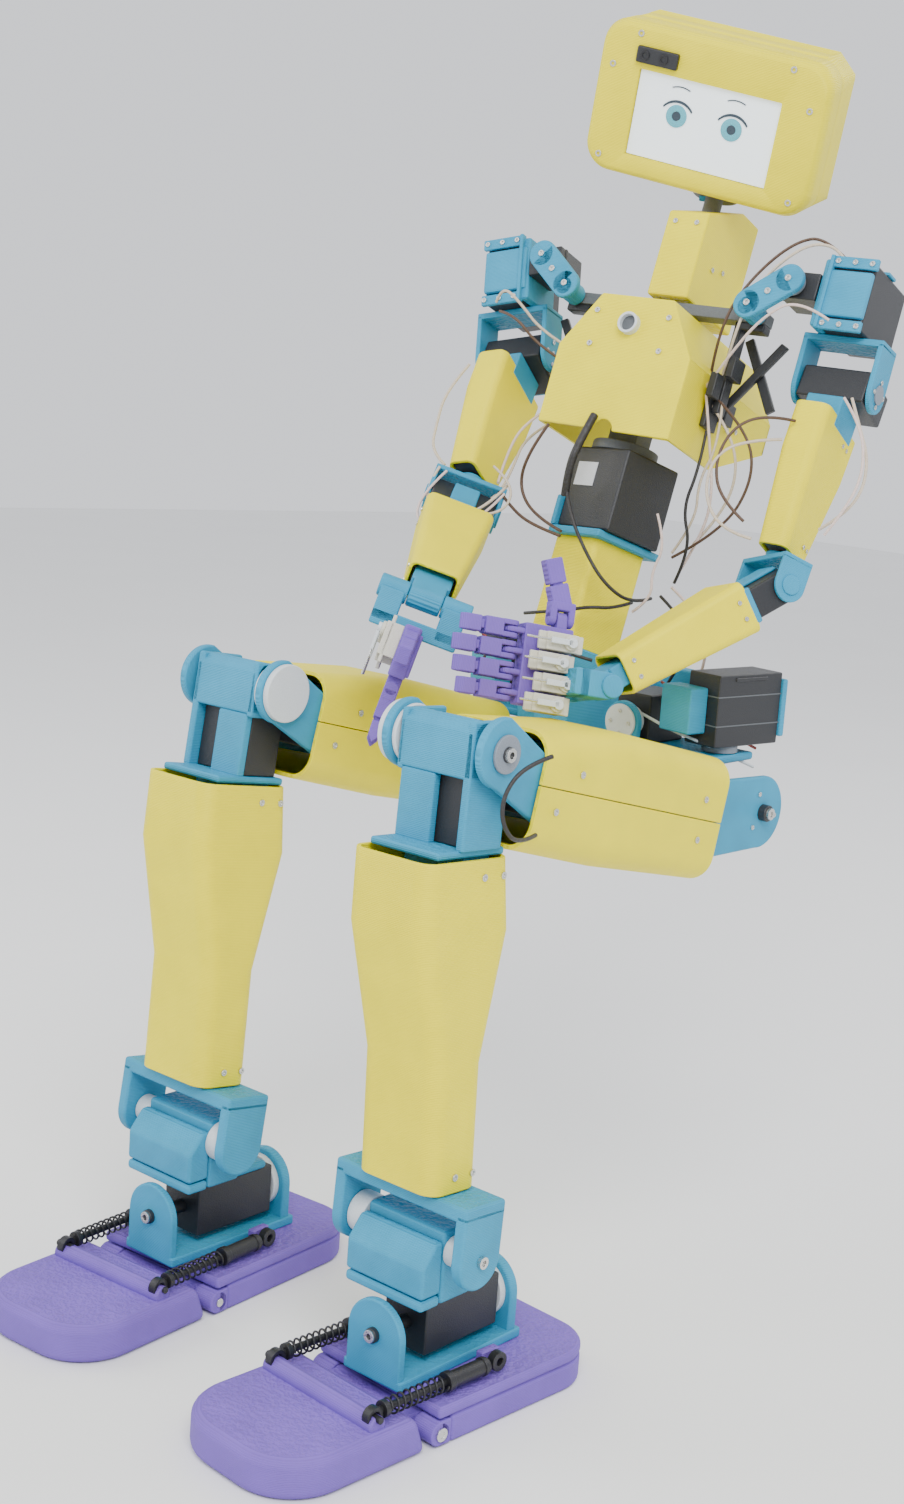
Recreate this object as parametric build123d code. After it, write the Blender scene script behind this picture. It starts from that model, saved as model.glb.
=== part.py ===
"""Seated humanoid robot kit, built limb by limb.

Millimetres, +Z up. The origin is the middle of the flat underside of the seat plate.
The robot faces -Y and its left side is +X. Every limb is drawn in a local frame, standing
upright with its first joint at the origin, and is then placed by named joint angles.
Right limbs are the mirror image of the left ones.
"""
from build123d import *
import os

# ---- driving dimensions ----
HIP_X = 114.3
HIP_Z = 44.5
THIGH_LENGTH = 301.0
ANKLE_Y = 14.0
ANKLE_Z = -317.0
ANKLE_IN_FOOT_Y = -11.0
ANKLE_IN_FOOT_Z = 116.0
ROLL_X = -57.0
ROLL_Z = 53.0
FOOT_ROLL_Z = 57.0
TOE_PIN_Y = -32.0
TOE_PIN_Z = 9.0
TOE_IN = 3.8
SHOCK_X = 45.5
SHOCK_FRONT_Y = -81.0
SHOCK_FRONT_Z = 33.0
SHOCK_REAR_Y = 27.0
SHOCK_REAR_Z = 35.0
WALL = 3.0
FIT = 0.06

TORSO_ORIGIN = (1.6, -29.6, 282.0)
TORSO_SIDE_LEAN = -2.02
TORSO_BACK_LEAN = -17.14
WAIST_TURN = 16.98
SHOULDER = (104.0, 12.0, 150.0)
LIFT_AXIS = (144.0, 48.0, 86.0)
UPPER_ARM = 157.0
FOREARM = 160.0
PAN_Y = 56.0
PAN_Z = 206.0
DISPLAY_CENTRE = (2.8, 6.6, 258.2)
HEAD_PAN = 9.1
HEAD_TILT = 30.8
HEAD_ROLL = 6.4
TILT_IN_HEAD = (0.0, 35.0, -15.0)

# seated pose, degrees
LEG_POSE = {
    "left": {"turn": 8.73, "thigh": -103.6, "knee": 100.2, "ankle": 3.4},
    "right": {"turn": -8.73, "thigh": -103.33, "knee": 95.33, "ankle": 8.0},
}
ARM_POSE = {
    "left": {"swing": 0.1, "lift": -9.1, "twist": -35.5, "elbow": -40.5, "wrist": -35.0},
    "right": {"swing": -13.7, "lift": -26.5, "twist": -38.5, "elbow": -26.7, "wrist": 60.0},
}
SIDES = {"left": 1, "right": -1}


# ---- helpers ----
def block(x0, x1, y0, y1, z0, z1):
    """Box between the given limits."""
    return Pos((x0 + x1) / 2, (y0 + y1) / 2, (z0 + z1) / 2) * Box(x1 - x0, y1 - y0, z1 - z0)


def rod_x(x0, x1, y, z, r):
    return Pos((x0 + x1) / 2, y, z) * Rot(0, 90, 0) * Cylinder(r, x1 - x0)


def rod_y(x, y0, y1, z, r):
    return Pos(x, (y0 + y1) / 2, z) * Rot(90, 0, 0) * Cylinder(r, y1 - y0)


def rod_z(x, y, z0, z1, r):
    return Pos(x, y, (z0 + z1) / 2) * Cylinder(r, z1 - z0)


def ear(x0, x1, r, z_end, half_width):
    """Side plate that is rounded about the X axis and runs up or down to z_end."""
    low, high = min(0, z_end), max(0, z_end)
    return rod_x(x0, x1, 0, 0, r) + block(x0, x1, -half_width, half_width, low, high)


def prism_x(x0, x1, points):
    """Outline in Y and Z, extruded from x0 to x1."""
    face = make_face(Polyline([(x0, y, z) for y, z in points], close=True))
    return extrude(face, amount=x1 - x0, dir=(1, 0, 0))


def prism_y(y0, y1, points):
    """Outline in X and Z, extruded from y0 to y1."""
    face = make_face(Polyline([(x, y0, z) for x, z in points], close=True))
    return extrude(face, amount=y1 - y0, dir=(0, 1, 0))


def tube_cover(stations, wall, corner):
    """Tapered open-ended cover. A station is (z, front y, rear y, width)."""
    def skin(inset, stretch):
        rings = []
        last = len(stations) - 1
        for number, (z, front, rear, width) in enumerate(stations):
            if number == 0:
                z = z + stretch
            if number == last:
                z = z - stretch
            ring = RectangleRounded(width - 2 * inset, rear - front - 2 * inset, corner - inset)
            rings.append(Pos(0, (front + rear) / 2, z) * ring)
        return loft(rings, ruled=True)

    return skin(0, 0) - skin(wall, 1)


def group(*pieces):
    """Separate solids of one node."""
    solids = []
    for piece in pieces:
        solids.extend(piece.solids())
    return Compound(solids)


# ---- frames ----
def waist_place():
    """Frame of the leaning waist, before the waist turns."""
    lean = Rot(0, TORSO_SIDE_LEAN, 0) * Rot(TORSO_BACK_LEAN, 0, 0)
    return Location(TORSO_ORIGIN) * lean


def torso_place():
    return waist_place() * Rot(0, 0, WAIST_TURN)


def neck_place():
    return torso_place() * Pos(0, PAN_Y, PAN_Z) * Rot(0, 0, HEAD_PAN)


def head_place():
    """Frame at the centre of the display."""
    turned = Rot(0, 0, HEAD_PAN) * Rot(HEAD_TILT, 0, 0) * Rot(0, HEAD_ROLL, 0)
    return torso_place() * Location(DISPLAY_CENTRE) * turned


def leg_places(side):
    s = SIDES[side]
    pose = LEG_POSE[side]
    places = {}
    places["hip"] = Pos(s * HIP_X, 0, HIP_Z) * Rot(0, 0, s * pose["turn"])
    places["thigh"] = places["hip"] * Rot(pose["thigh"], 0, 0)
    places["shin"] = places["thigh"] * Pos(0, 0, -THIGH_LENGTH) * Rot(pose["knee"], 0, 0)
    places["ankle"] = places["shin"] * Pos(0, ANKLE_Y, ANKLE_Z) * Rot(pose["ankle"], 0, 0)
    places["foot"] = places["ankle"] * Pos(0, -ANKLE_IN_FOOT_Y, -ANKLE_IN_FOOT_Z)
    places["sole"] = places["foot"] * Rot(0, 0, -s * TOE_IN)
    return places


def arm_places(side):
    s = SIDES[side]
    pose = ARM_POSE[side]
    reach = [LIFT_AXIS[i] - SHOULDER[i] for i in range(3)]
    places = {}
    start = torso_place() * Pos(s * SHOULDER[0], SHOULDER[1], SHOULDER[2])
    places["shoulder"] = start * Rot(0, -s * pose["swing"], 0)
    lift = places["shoulder"] * Pos(s * reach[0], reach[1], reach[2])
    places["upper_arm"] = lift * Rot(pose["lift"], 0, 0)
    places["elbow"] = places["upper_arm"] * Rot(0, 0, s * pose["twist"])
    places["forearm"] = places["elbow"] * Pos(0, 0, -UPPER_ARM) * Rot(pose["elbow"], 0, 0)
    places["hand"] = places["forearm"] * Pos(0, 0, -FOREARM) * Rot(pose["wrist"], 0, 0)
    places["palm"] = places["hand"] * Rot(0, 0, -s * 90)
    return places


# ---- pelvis and waist ----
def make_pelvis_frame():
    """Seat plate, leaning column, rear beam and the two hip turn servos."""
    seat = block(-45, 45, -75, 40, 0, 8)
    column = block(-18, 18, -62, -18, 8, 116)
    web = block(-18, 18, -20, 32, 96, 116)
    beam = block(-99.3, 99.3, 30, 44, 95, 128)
    frame = seat + column + web + beam
    socket = block(-34, 17, 3, 54, -162, -140)
    frame = frame + waist_place() * socket
    pieces = [frame]
    for s in SIDES.values():
        servo = block(-15, 15, -22, 44, 43, 95)
        horn = rod_z(0, 0, 37.2, 43, 13)
        post = block(-24, 5, -40, -22, 52, 85)
        local = servo + horn
        if s < 0:
            local = mirror(local, about=Plane.YZ)
            post = mirror(post, about=Plane.YZ)
        place = Pos(s * HIP_X, 0, HIP_Z)
        pieces.append(place * local)
        pieces.append(place * post)
    bracket = waist_place() * (block(-34, 20, -4, 64, -60, -54) + block(-34, -30, -4, 64, -54, -31))
    pieces.append(bracket)
    return group(*pieces)


def make_abdomen_cover():
    outer = block(-31, 14, 2, 56, -140, -60)
    inner = block(-28, 11, 5, 53, -141, -59)
    return waist_place() * (outer - inner)


def make_waist_servo():
    """Servo that turns the chest, standing on the waist bracket."""
    body = block(-30, 24, 0, 56, -54, 8)
    return waist_place() * body


# ---- torso ----
def make_spine_frame():
    """Base disc, spine post, shoulder beam, links to the shoulder horns and black braces."""
    disc = rod_z(0, 28, 8.4, 16, 25)
    post = block(-12, 12, 18, 42, 16, 122)
    beam = block(-86, 86, 26, 42, 122, 132)
    frame = disc + post + beam + block(-14, 14, 30, 70, 122, 133)
    pieces = []
    for s in SIDES.values():
        boss = rod_y(s * 77, 4, 26, 127, 8)
        boss_end = rod_y(s * 77, 4, 10, 129, 11)
        horn_end = rod_y(s * SHOULDER[0], 4, 10, SHOULDER[2], 11)
        angle = 37.9 * s
        link = Pos(s * 90.5, 7, 139.5) * Rot(0, -angle, 0) * Box(34, 6, 20)
        horn = rod_y(s * SHOULDER[0], 10, 15.6, SHOULDER[2], 9)
        frame = frame + boss + boss_end + horn_end + link + horn
        foot = block(55.3, 60, 24, 44, 40, 74)
        brace = block(60, 66, 28, 40, 52, 122)
        tie = block(60, 84, 28, 40, 116, 122)
        side_brace = foot + brace + tie
        if s < 0:
            side_brace = mirror(side_brace, about=Plane.YZ)
        frame = frame + side_brace
    pieces.append(torso_place() * frame)
    return group(*pieces)


def chest_outline(inset):
    """Front view of the chest: straight sides and large top chamfers."""
    half = 55 - inset
    top_half = 30 - inset * 0.5
    top = 118.7 - inset
    return [(-half, 16.7), (half, 16.7), (half, 77), (top_half, top), (-top_half, top), (-half, 77)]


def make_chest_cover():
    outer = prism_y(-15, 142, chest_outline(0))
    inner = prism_y(-12, 139, [(x, z - 1 if z < 17 else z) for x, z in chest_outline(WALL)])
    cut = prism_x(-60, 60, [(60, 10), (150, 10), (150, 56.5), (142, 53), (60, 16.7)])
    notch = rod_y(0, -16, -11, 16.7, 8)
    neck_hole = block(-16, 16, 16, 110, 114, 120)
    sensor_hole = rod_y(0, -16, -11, 97, 8.2)
    shell = outer - inner - cut - notch - neck_hole - sensor_hole
    return torso_place() * shell


def make_chest_sensor():
    tube = rod_y(0, -21, -6, 97, 8) - rod_y(0, -22, -8, 97, 6)
    return torso_place() * tube


def make_neck_cover():
    outline = [(24, 134), (108, 134), (108, 222), (78, 222), (24, 200)]
    inner = [(27, 133), (105, 133), (105, 219), (79, 219), (27, 197)]
    shell = prism_x(-17, 17, outline) - prism_x(-14, 14, inner)
    shell = shell - rod_z(0, PAN_Y, 190, 230, 9)
    return torso_place() * shell


def make_neck_bracket():
    """Pan shaft, turned plate and the post with the tilt pin."""
    shaft = rod_z(0, 0, -16, 20, 7)
    plate = rod_z(0, 0, 19.5, 24.5, 18)
    body = shaft + plate
    return neck_place() * body


def make_neck_post():
    """Post of the neck bracket inside the head, drawn in the head frame before its roll."""
    x, y, z = TILT_IN_HEAD
    post = block(x - 9, x + 9, y - 7, y + 7, z - 44, z)
    knuckle = rod_x(x - 9, x + 9, y, z, 9)
    return post + knuckle


# ---- head ----
def head_profile(y0, y1, inset):
    """Head outline with large chamfered top corners."""
    a, b = 88.6 - inset, 64 - inset * 0.5
    low, shoulder, top = -41 + inset, 52 - inset * 0.4, 74 - inset
    return prism_y(y0, y1, [(-a, low), (a, low), (a, shoulder), (b, top), (-b, top), (-a, shoulder)])


def make_head_front_cover():
    face = Pos(0, -3, 8) * Rot(90, 0, 0) * RectangleRounded(182, 112, 20)
    plate = extrude(face, amount=6, both=False, dir=(0, 1, 0))
    plate = Pos(0, -3, 0) * plate
    rim = head_profile(0, 20, 0) - head_profile(-1, 21, WALL)
    window = block(-56.5, 56.5, -7, 1, -31.5, 31.5)
    neck_gap = block(-28, 28, 4, 21, -42, -36)
    return head_place() * (plate + rim - window - neck_gap)


def make_head_rear_cover():
    shell = head_profile(20, 60, 0) - head_profile(19, 57, WALL)
    neck_gap = block(-28, 28, 19, 61, -42, -30)
    return head_place() * (shell - neck_gap)


def make_face_display():
    return head_place() * block(-56, 56, -4.5, 3, -31, 31)


def make_head_camera():
    return head_place() * block(-60, -27, -10, -6, 36, 48)


# ---- arm, drawn for the left side ----
def make_shoulder_block():
    """Small servo, bracket plate, large servo and U bracket. Origin at the shoulder horn."""
    small_servo = block(-10, 18, 4, 40, -10, 10)
    plate = block(18, 25, 6, 50, -28, 22)
    large_servo = block(25, 57, 8, 72, -28, 22)
    x, y, z = [LIFT_AXIS[i] - SHOULDER[i] for i in range(3)]
    bridge = block(x - 31, x + 31, y - 14, y + 14, z + 31, -28)
    hook = bridge
    for e in (-1, 1):
        near, far = sorted((e * 27, e * 31))
        lug = Pos(x, y, z) * ear(near, far, 14, 31, 14)
        hook = hook + lug
    hook = hook + Pos(x, y, z) * (rod_x(26.4, 27, 0, 0, 9) + rod_x(31, 34, 0, 0, 8))
    return [small_servo, plate, large_servo, hook]


def make_upper_arm_frame():
    """Lift servo between the U bracket ears, with the arm bracket. Origin at the lift axis."""
    servo = rod_x(-26, 26, 0, 0, 13) + block(-26, 26, 0, 32, -12, 13)
    neck = block(-8, 8, -12, 12, -30, -10)
    twist_servo = block(-7, 7, -16, 16, -130, -30)
    return [servo + neck + twist_servo]


def make_upper_arm_cover():
    stations = [(-26, -34, 34, 27), (-60, -33, 33, 27), (-131, -21, 21, 23)]
    return [tube_cover(stations, 2.4, 7)]


def make_elbow_fork():
    """Turned fork below the upper-arm cover. Origin at the lift axis."""
    horn = rod_z(0, 0, -136, -131.6, 10)
    bridge = block(-28, 28, -12, 12, -140, -136)
    fork = horn + bridge
    for e in (-1, 1):
        near, far = sorted((e * 25, e * 28))
        lug = Pos(0, 0, -UPPER_ARM) * ear(near, far, 12, 17, 12)
        fork = fork + lug
    return [fork]


def make_forearm_frame():
    """Elbow servo, spine and wrist knuckle. Origin at the elbow axis."""
    servo = rod_x(-24.5, 24.5, 0, 0, 12) + block(-24.5, 24.5, -12, 12, -32, 0)
    spine = block(-14, 14, -8, 8, -142, -32)
    cuff = block(-12, 12, -9, 9, -150, -142)
    knuckle = rod_x(-12, 12, 0, -FOREARM, 8) + block(-12, 12, -8, 8, -FOREARM, -150)
    pin = rod_x(-30, 30, 0, -FOREARM, 2.5)
    return [servo + spine + cuff + knuckle + pin]


def make_forearm_cover():
    stations = [(-34, -19, 19, 52), (-139, -15, 15, 37)]
    return [tube_cover(stations, 2.4, 6)]


# The palm frame is the wrist frame turned a quarter turn, so the thumb edge faces forward.
FINGER_X = (-12.0, 2.0, 16.0, 30.0)
FINGER_LENGTHS = (36.0, 40.0, 42.0, 38.0)
KNUCKLE_Z = -64.0
THUMB_X = 42.0


def make_palm():
    """Palm plate with finger hinge lugs, joined to the cuff by a cross block."""
    bridge = block(-8, 8, -30, 30, -27, -16)
    plate = block(-19, 36, -6, 6, -56, -20)
    palm = bridge + plate
    for x in FINGER_X:
        palm = palm + block(x - 2, x + 2, -5, 5, KNUCKLE_Z, -55)
        palm = palm + rod_x(x - 2, x + 2, 0, KNUCKLE_Z, 5)
    thumb_lug = block(35, THUMB_X, -5, 5, -33, -25) + rod_z(THUMB_X, 0, -33, -25, 5)
    return palm + thumb_lug


def make_hand():
    """Cuff bar on the wrist pin with the turned palm. Origin at the wrist pin."""
    bar = rod_x(12.4, 33, 0, 0, 8) + rod_x(-33, -12.4, 0, 0, 8)
    arms = block(12.4, 30, -6, 6, -20, 0) + block(-30, -12.4, -6, 6, -20, 0)
    hole = rod_x(-40, 40, 0, 0, 2.5 + FIT)
    return [bar + arms + Rot(0, 0, -90) * make_palm() - hole]


def make_finger(number):
    """One finger with a forked root, in the palm frame."""
    x = FINGER_X[number]
    length = FINGER_LENGTHS[number]
    body = block(x - 6, x + 6, -5, 5, KNUCKLE_Z - length, KNUCKLE_Z - 7)
    for e in (-1, 1):
        near, far = sorted((x + e * 2.4, x + e * 6))
        body = body + rod_x(near, far, 0, KNUCKLE_Z, 5)
        body = body + block(near, far, -5, 5, KNUCKLE_Z - 8, KNUCKLE_Z)
    return [body]


def make_thumb():
    """Thumb standing out from the palm edge, hinged on an upright pin in the thumb lug."""
    root = block(48, 54, -5, 5, -38, -20)
    for low, high in ((-38, -33.4), (-24.6, -20)):
        root = root + block(THUMB_X, 50, -5, 5, low, high) + rod_z(THUMB_X, 0, low, high, 5)
    tip = Pos(50, 0, -29) * Rot(0, -70, 0) * block(-7, 7, -4.5, 4.5, -34, 0)
    return [root + tip]


# ---- leg, drawn for the left side ----
def make_hip_turn_link():
    """Plate under the turn servo with the hip roll servo. Origin at the hip pitch axis."""
    plate = block(-74, 14, -36, 24, 31, 37)
    servo = block(-72, -42, -30, 14, 37, 73)
    return [plate, servo]


def make_hip_block():
    """Front plate on the roll horn, side plate, pitch servo and hip axle."""
    front = rod_y(ROLL_X, -44, -38, ROLL_Z, 15) + block(-68, -50, -44, -38, -22, ROLL_Z)
    horn = rod_y(ROLL_X, -38, -30.6, ROLL_Z, 11)
    side = block(-56, -50, -44, 22, -22, 22)
    axle = rod_x(-50, 47, 0, 0, 6)
    bolt = rod_x(44, 47, 0, 0, 10)
    servo = rod_x(-34, 34, 0, 0, 17)
    return [front + horn + side + axle + bolt + servo]


def make_thigh_frame():
    """Two side plates, cross blocks and the knee horn disc. Origin at the hip axis."""
    frame = block(-35, 35, 0, 30, -96, -66) + block(-35, 35, 2, 32, -226, -196)
    for e in (-1, 1):
        near, far = sorted((e * 35, e * 41))
        plate = rod_x(near, far, 0, 0, 26) + rod_x(near, far, 0, -THIGH_LENGTH, 22)
        outline = [(-24, -8), (26, -2), (40, -60), (40, -250), (22, -298), (-22, -298)]
        outline += [(-5, -268), (-14, -175), (-15, -60)]
        plate = plate + prism_x(near, far, outline)
        plate = plate - rod_x(near - 1, far + 1, 0, 0, 6 + FIT)
        plate = plate - rod_x(near - 1, far + 1, 0, -THIGH_LENGTH, 5 + FIT)
        frame = frame + plate
    disc = rod_x(-35, -31.4, 0, -THIGH_LENGTH, 19) - rod_x(-36, -31, 0, -THIGH_LENGTH, 5 + FIT)
    return [frame + disc]


def make_thigh_cover():
    """Upper and lower half of the thigh cover, meeting on a lengthwise seam."""
    stations = [(-56, -30, 56, 90), (-175, -30, 59, 90), (-266, -19, 57, 90)]
    shell = tube_cover(stations, WALL, 18)
    end_cut = prism_x(-50, 50, [(14, -267), (70, -267), (70, -248), (14, -258)])
    shell = shell - end_cut
    seam = 14.0
    upper = shell & block(-60, 60, -60, seam - 0.2, -300, 0)
    lower = shell & block(-60, 60, seam + 0.2, 90, -300, 0)
    return [upper, lower]


def make_shin_frame():
    """Knee block with its servo, spine plate and the ankle fork. Origin at the knee axis."""
    front = block(-30, 30, -17, -10, -18, 18) + block(-26, 2, -17, -10, -62, -18)
    side = block(24, 30, -17, 20, -62, 18)
    ledge = block(-28, 28, -36, 26, -66, -62)
    spine = block(-24, 24, -8, 18, -290, -66)
    inner_side = block(-30, -25, -17, 20, -20, 18)
    frame = front + side + inner_side + ledge + spine
    frame = frame + rod_x(-42, 42, 0, 0, 5) + rod_x(-45, -42, 0, 0, 9) + rod_x(42, 45, 0, 0, 9)
    fork = Pos(0, ANKLE_Y, ANKLE_Z) * make_ankle_fork()
    servo = block(-25, 24, -10, 20, -62, 11)
    return [frame + fork + servo]


def make_ankle_fork():
    """Top plate and two ears. Origin at the ankle axis."""
    fork = block(-56, 56, -19, 19, 27, 37)
    for e in (-1, 1):
        near, far = sorted((e * 47, e * 56))
        fork = fork + ear(near, far, 19, 30, 19)
    return fork - rod_x(-60, 60, 0, 0, 5 + FIT)


def make_shin_cover():
    stations = [(-66.4, -49, 29, 66), (-113, -46, 37, 68), (-197, -20, 26, 66), (-279, -13, 33, 66)]
    return [tube_cover(stations, WALL, 12)]


def make_ankle_block():
    """Front block, pitch servo, roll servo with its shaft. Origin at the ankle pitch axis."""
    profile = [(-27, -35), (-27, -6), (-16, 8), (-9, 8), (-9, -35)]
    front = prism_x(-33, 33, profile)
    servo = block(-33, 33, -9, 20, -35, 14)
    pin = rod_x(-56, 56, 0, 0, 5) + rod_x(-46.6, -33, 0, 0, 14) + rod_x(33, 46.6, 0, 0, 10)
    hanger = block(-20, 20, -9, 60, -41, -35)
    roll = block(-18, 18, -3, 68, -77, -41)
    shaft = rod_y(0, -34, 84, FOOT_ROLL_Z - ANKLE_IN_FOOT_Z, 5)
    return [front + servo + pin + hanger + roll + shaft]


def make_foot_bracket():
    """Base plate with a rounded front plate and rear upright. Origin on the ground, under the roll axis."""
    base = block(-25, 25, -43, 75, 26, 33)
    front = rod_y(0, -43, -37, FOOT_ROLL_Z, 23) + block(-23, 23, -43, -37, 33, FOOT_ROLL_Z)
    rear = rod_y(0, 64, 72, FOOT_ROLL_Z, 23) + block(-23, 23, 64, 72, 33, FOOT_ROLL_Z)
    disc = rod_y(0, 58.6, 64, FOOT_ROLL_Z, 19)
    return [base + front + rear + disc - rod_y(0, -50, 80, FOOT_ROLL_Z, 5 + FIT)]


SOLE_HALF = 57.0
SOLE_TOP = 26.0
TOE_TIP = -160.0
HEEL_END = 118.0


def make_foot_sole():
    """Heel half of the sole, hinge pin and the rear posts of the struts."""
    heel = block(-SOLE_HALF, SOLE_HALF, -23, HEEL_END, 0, SOLE_TOP)
    heel = heel + block(-SOLE_HALF, SOLE_HALF, -34, -23, 18.2, SOLE_TOP)
    heel = fillet(heel.edges().filter_by(Axis.Z).sort_by(Axis.Y)[-2:], 35)
    for e in (-1, 1):
        near, far = sorted((e * 39, e * SOLE_HALF))
        heel = heel + rod_x(near, far, TOE_PIN_Y, TOE_PIN_Z, 8)
        heel = heel + block(near, far, TOE_PIN_Y, -23, 1, 17)
        post = block(min(e * 34, e * 40), max(e * 34, e * 40), 19, 35, SOLE_TOP, 40)
        near, far = sorted((e * 40, e * 52))
        heel = heel + post + rod_x(near, far, SHOCK_REAR_Y, SHOCK_REAR_Z, 2.5)
    heel = heel + rod_x(-39, 39, TOE_PIN_Y, TOE_PIN_Z, 3)
    return [heel]


def make_toe_plate():
    """Toe half of the sole with its hinge tongue, ridge bar and strut pins."""
    face = make_face(Polyline([(-SOLE_HALF, -38), (SOLE_HALF, -38), (SOLE_HALF, TOE_TIP),
                               (-SOLE_HALF, TOE_TIP)], close=True))
    toe = extrude(face, amount=SOLE_TOP)
    toe = fillet(toe.edges().filter_by(Axis.Z).sort_by(Axis.Y)[:2], 42)
    toe = toe - prism_x(-60, 60, [(-37, 0), (-42, 0), (-42, 4), (-52, 27), (-37, 27)])
    tongue = block(-38.6, 38.6, -44, TOE_PIN_Y, 1.5, 16.5) + rod_x(-38.6, 38.6, TOE_PIN_Y, TOE_PIN_Z, 7.5)
    toe = toe + tongue - rod_x(-60, 60, TOE_PIN_Y, TOE_PIN_Z, 3 + FIT)
    toe = toe + rod_x(-39, 39, SHOCK_FRONT_Y, 30, 6)
    for e in (-1, 1):
        near, far = sorted((e * 38, e * 51))
        toe = toe + rod_x(near, far, SHOCK_FRONT_Y, SHOCK_FRONT_Z, 2.5)
    return [toe]


def make_shock_bodies():
    """Cylinders of the two struts, each with its rear eye."""
    bodies = []
    for e in (-1, 1):
        x = e * SHOCK_X
        eye = rod_x(x - 3.2, x + 3.2, SHOCK_REAR_Y, SHOCK_REAR_Z, 6.5)
        tube = rod_y(x, -15, 21, SHOCK_REAR_Z, 5.5) + eye
        tube = tube - rod_y(x, -16, 17, SHOCK_REAR_Z, 2.5 + FIT)
        tube = tube - rod_x(x - 4, x + 4, SHOCK_REAR_Y, SHOCK_REAR_Z, 2.5 + FIT)
        bodies.append(tube)
    return bodies


def make_shock_rods():
    """Rods of the two struts, each with an open front eye."""
    rods = []
    for e in (-1, 1):
        x = e * SHOCK_X
        eye = rod_x(x - 3.2, x + 3.2, SHOCK_FRONT_Y, SHOCK_FRONT_Z, 6.4)
        rod = rod_y(x, -76, -7, SHOCK_REAR_Z, 2.5) + eye
        rod = rod + rod_y(x, -73, -69, SHOCK_REAR_Z, 5.5)
        rod = rod - rod_x(x - 4, x + 4, SHOCK_FRONT_Y, SHOCK_FRONT_Z, 4.2)
        rods.append(rod)
    return rods


ARM_NODES = {
    "shoulder_block": ("shoulder", make_shoulder_block),
    "upper_arm_frame": ("upper_arm", make_upper_arm_frame),
    "upper_arm_cover": ("upper_arm", make_upper_arm_cover),
    "elbow_fork": ("elbow", make_elbow_fork),
    "forearm_frame": ("forearm", make_forearm_frame),
    "forearm_cover": ("forearm", make_forearm_cover),
    "palm": ("hand", make_hand),
    "thumb": ("palm", make_thumb),
    "index_finger": ("palm", lambda: make_finger(3)),
    "middle_finger": ("palm", lambda: make_finger(2)),
    "ring_finger": ("palm", lambda: make_finger(1)),
    "little_finger": ("palm", lambda: make_finger(0)),
}
LEG_NODES = {
    "hip_turn_link": ("hip", make_hip_turn_link),
    "hip_block": ("hip", make_hip_block),
    "thigh_frame": ("thigh", make_thigh_frame),
    "thigh_cover": ("thigh", make_thigh_cover),
    "shin_frame": ("shin", make_shin_frame),
    "shin_cover": ("shin", make_shin_cover),
    "ankle_block": ("ankle", make_ankle_block),
    "foot_bracket": ("foot", make_foot_bracket),
    "foot_sole": ("sole", make_foot_sole),
    "toe_plate": ("sole", make_toe_plate),
    "shock_bodies": ("sole", make_shock_bodies),
    "shock_rods": ("sole", make_shock_rods),
}


def place_limb(nodes, places, side):
    """Mirror the pieces of a limb for the right side and put them in their places."""
    placed = {}
    for name, (frame, make) in nodes.items():
        pieces = make()
        if side == "right":
            pieces = [mirror(piece, about=Plane.YZ) for piece in pieces]
        placed[side + "_" + name] = group(*[places[frame] * piece for piece in pieces])
    return placed


def make_neck():
    """Turned plate on the pan shaft, carrying the post and tilt pin inside the head."""
    turned = Rot(0, 0, HEAD_PAN) * Rot(HEAD_TILT, 0, 0)
    post_place = torso_place() * Location(DISPLAY_CENTRE) * turned
    return group(make_neck_bracket() + post_place * make_neck_post())


def make_all():
    nodes = {
        "pelvis_frame": make_pelvis_frame(),
        "waist_servo": group(make_waist_servo()),
        "abdomen_cover": group(make_abdomen_cover()),
        "spine_frame": make_spine_frame(),
        "chest_cover": group(make_chest_cover()),
        "neck_cover": group(make_neck_cover()),
        "chest_sensor": group(make_chest_sensor()),
        "neck_bracket": make_neck(),
        "head_front_cover": group(make_head_front_cover()),
        "head_rear_cover": group(make_head_rear_cover()),
        "face_display": group(make_face_display()),
        "head_camera": group(make_head_camera()),
    }
    for side in SIDES:
        nodes.update(place_limb(ARM_NODES, arm_places(side), side))
        nodes.update(place_limb(LEG_NODES, leg_places(side), side))
    return nodes


def main():
    os.makedirs("parts", exist_ok=True)
    for name, shape in make_all().items():
        export_step(shape, "parts/" + name + ".step")
        print(name, len(shape.solids()), round(shape.volume))


if __name__ == "__main__":
    main()
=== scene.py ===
"""Looks of the seated humanoid robot kit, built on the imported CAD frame.

Every limb is drawn in millimetres in its own standing frame, with the same dimensions as the CAD
parts, and is placed by the same joint angles. Right limbs are mirror images of left ones.
"""

import math

import bmesh
import bpy
from mathutils import Matrix, Vector


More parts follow.
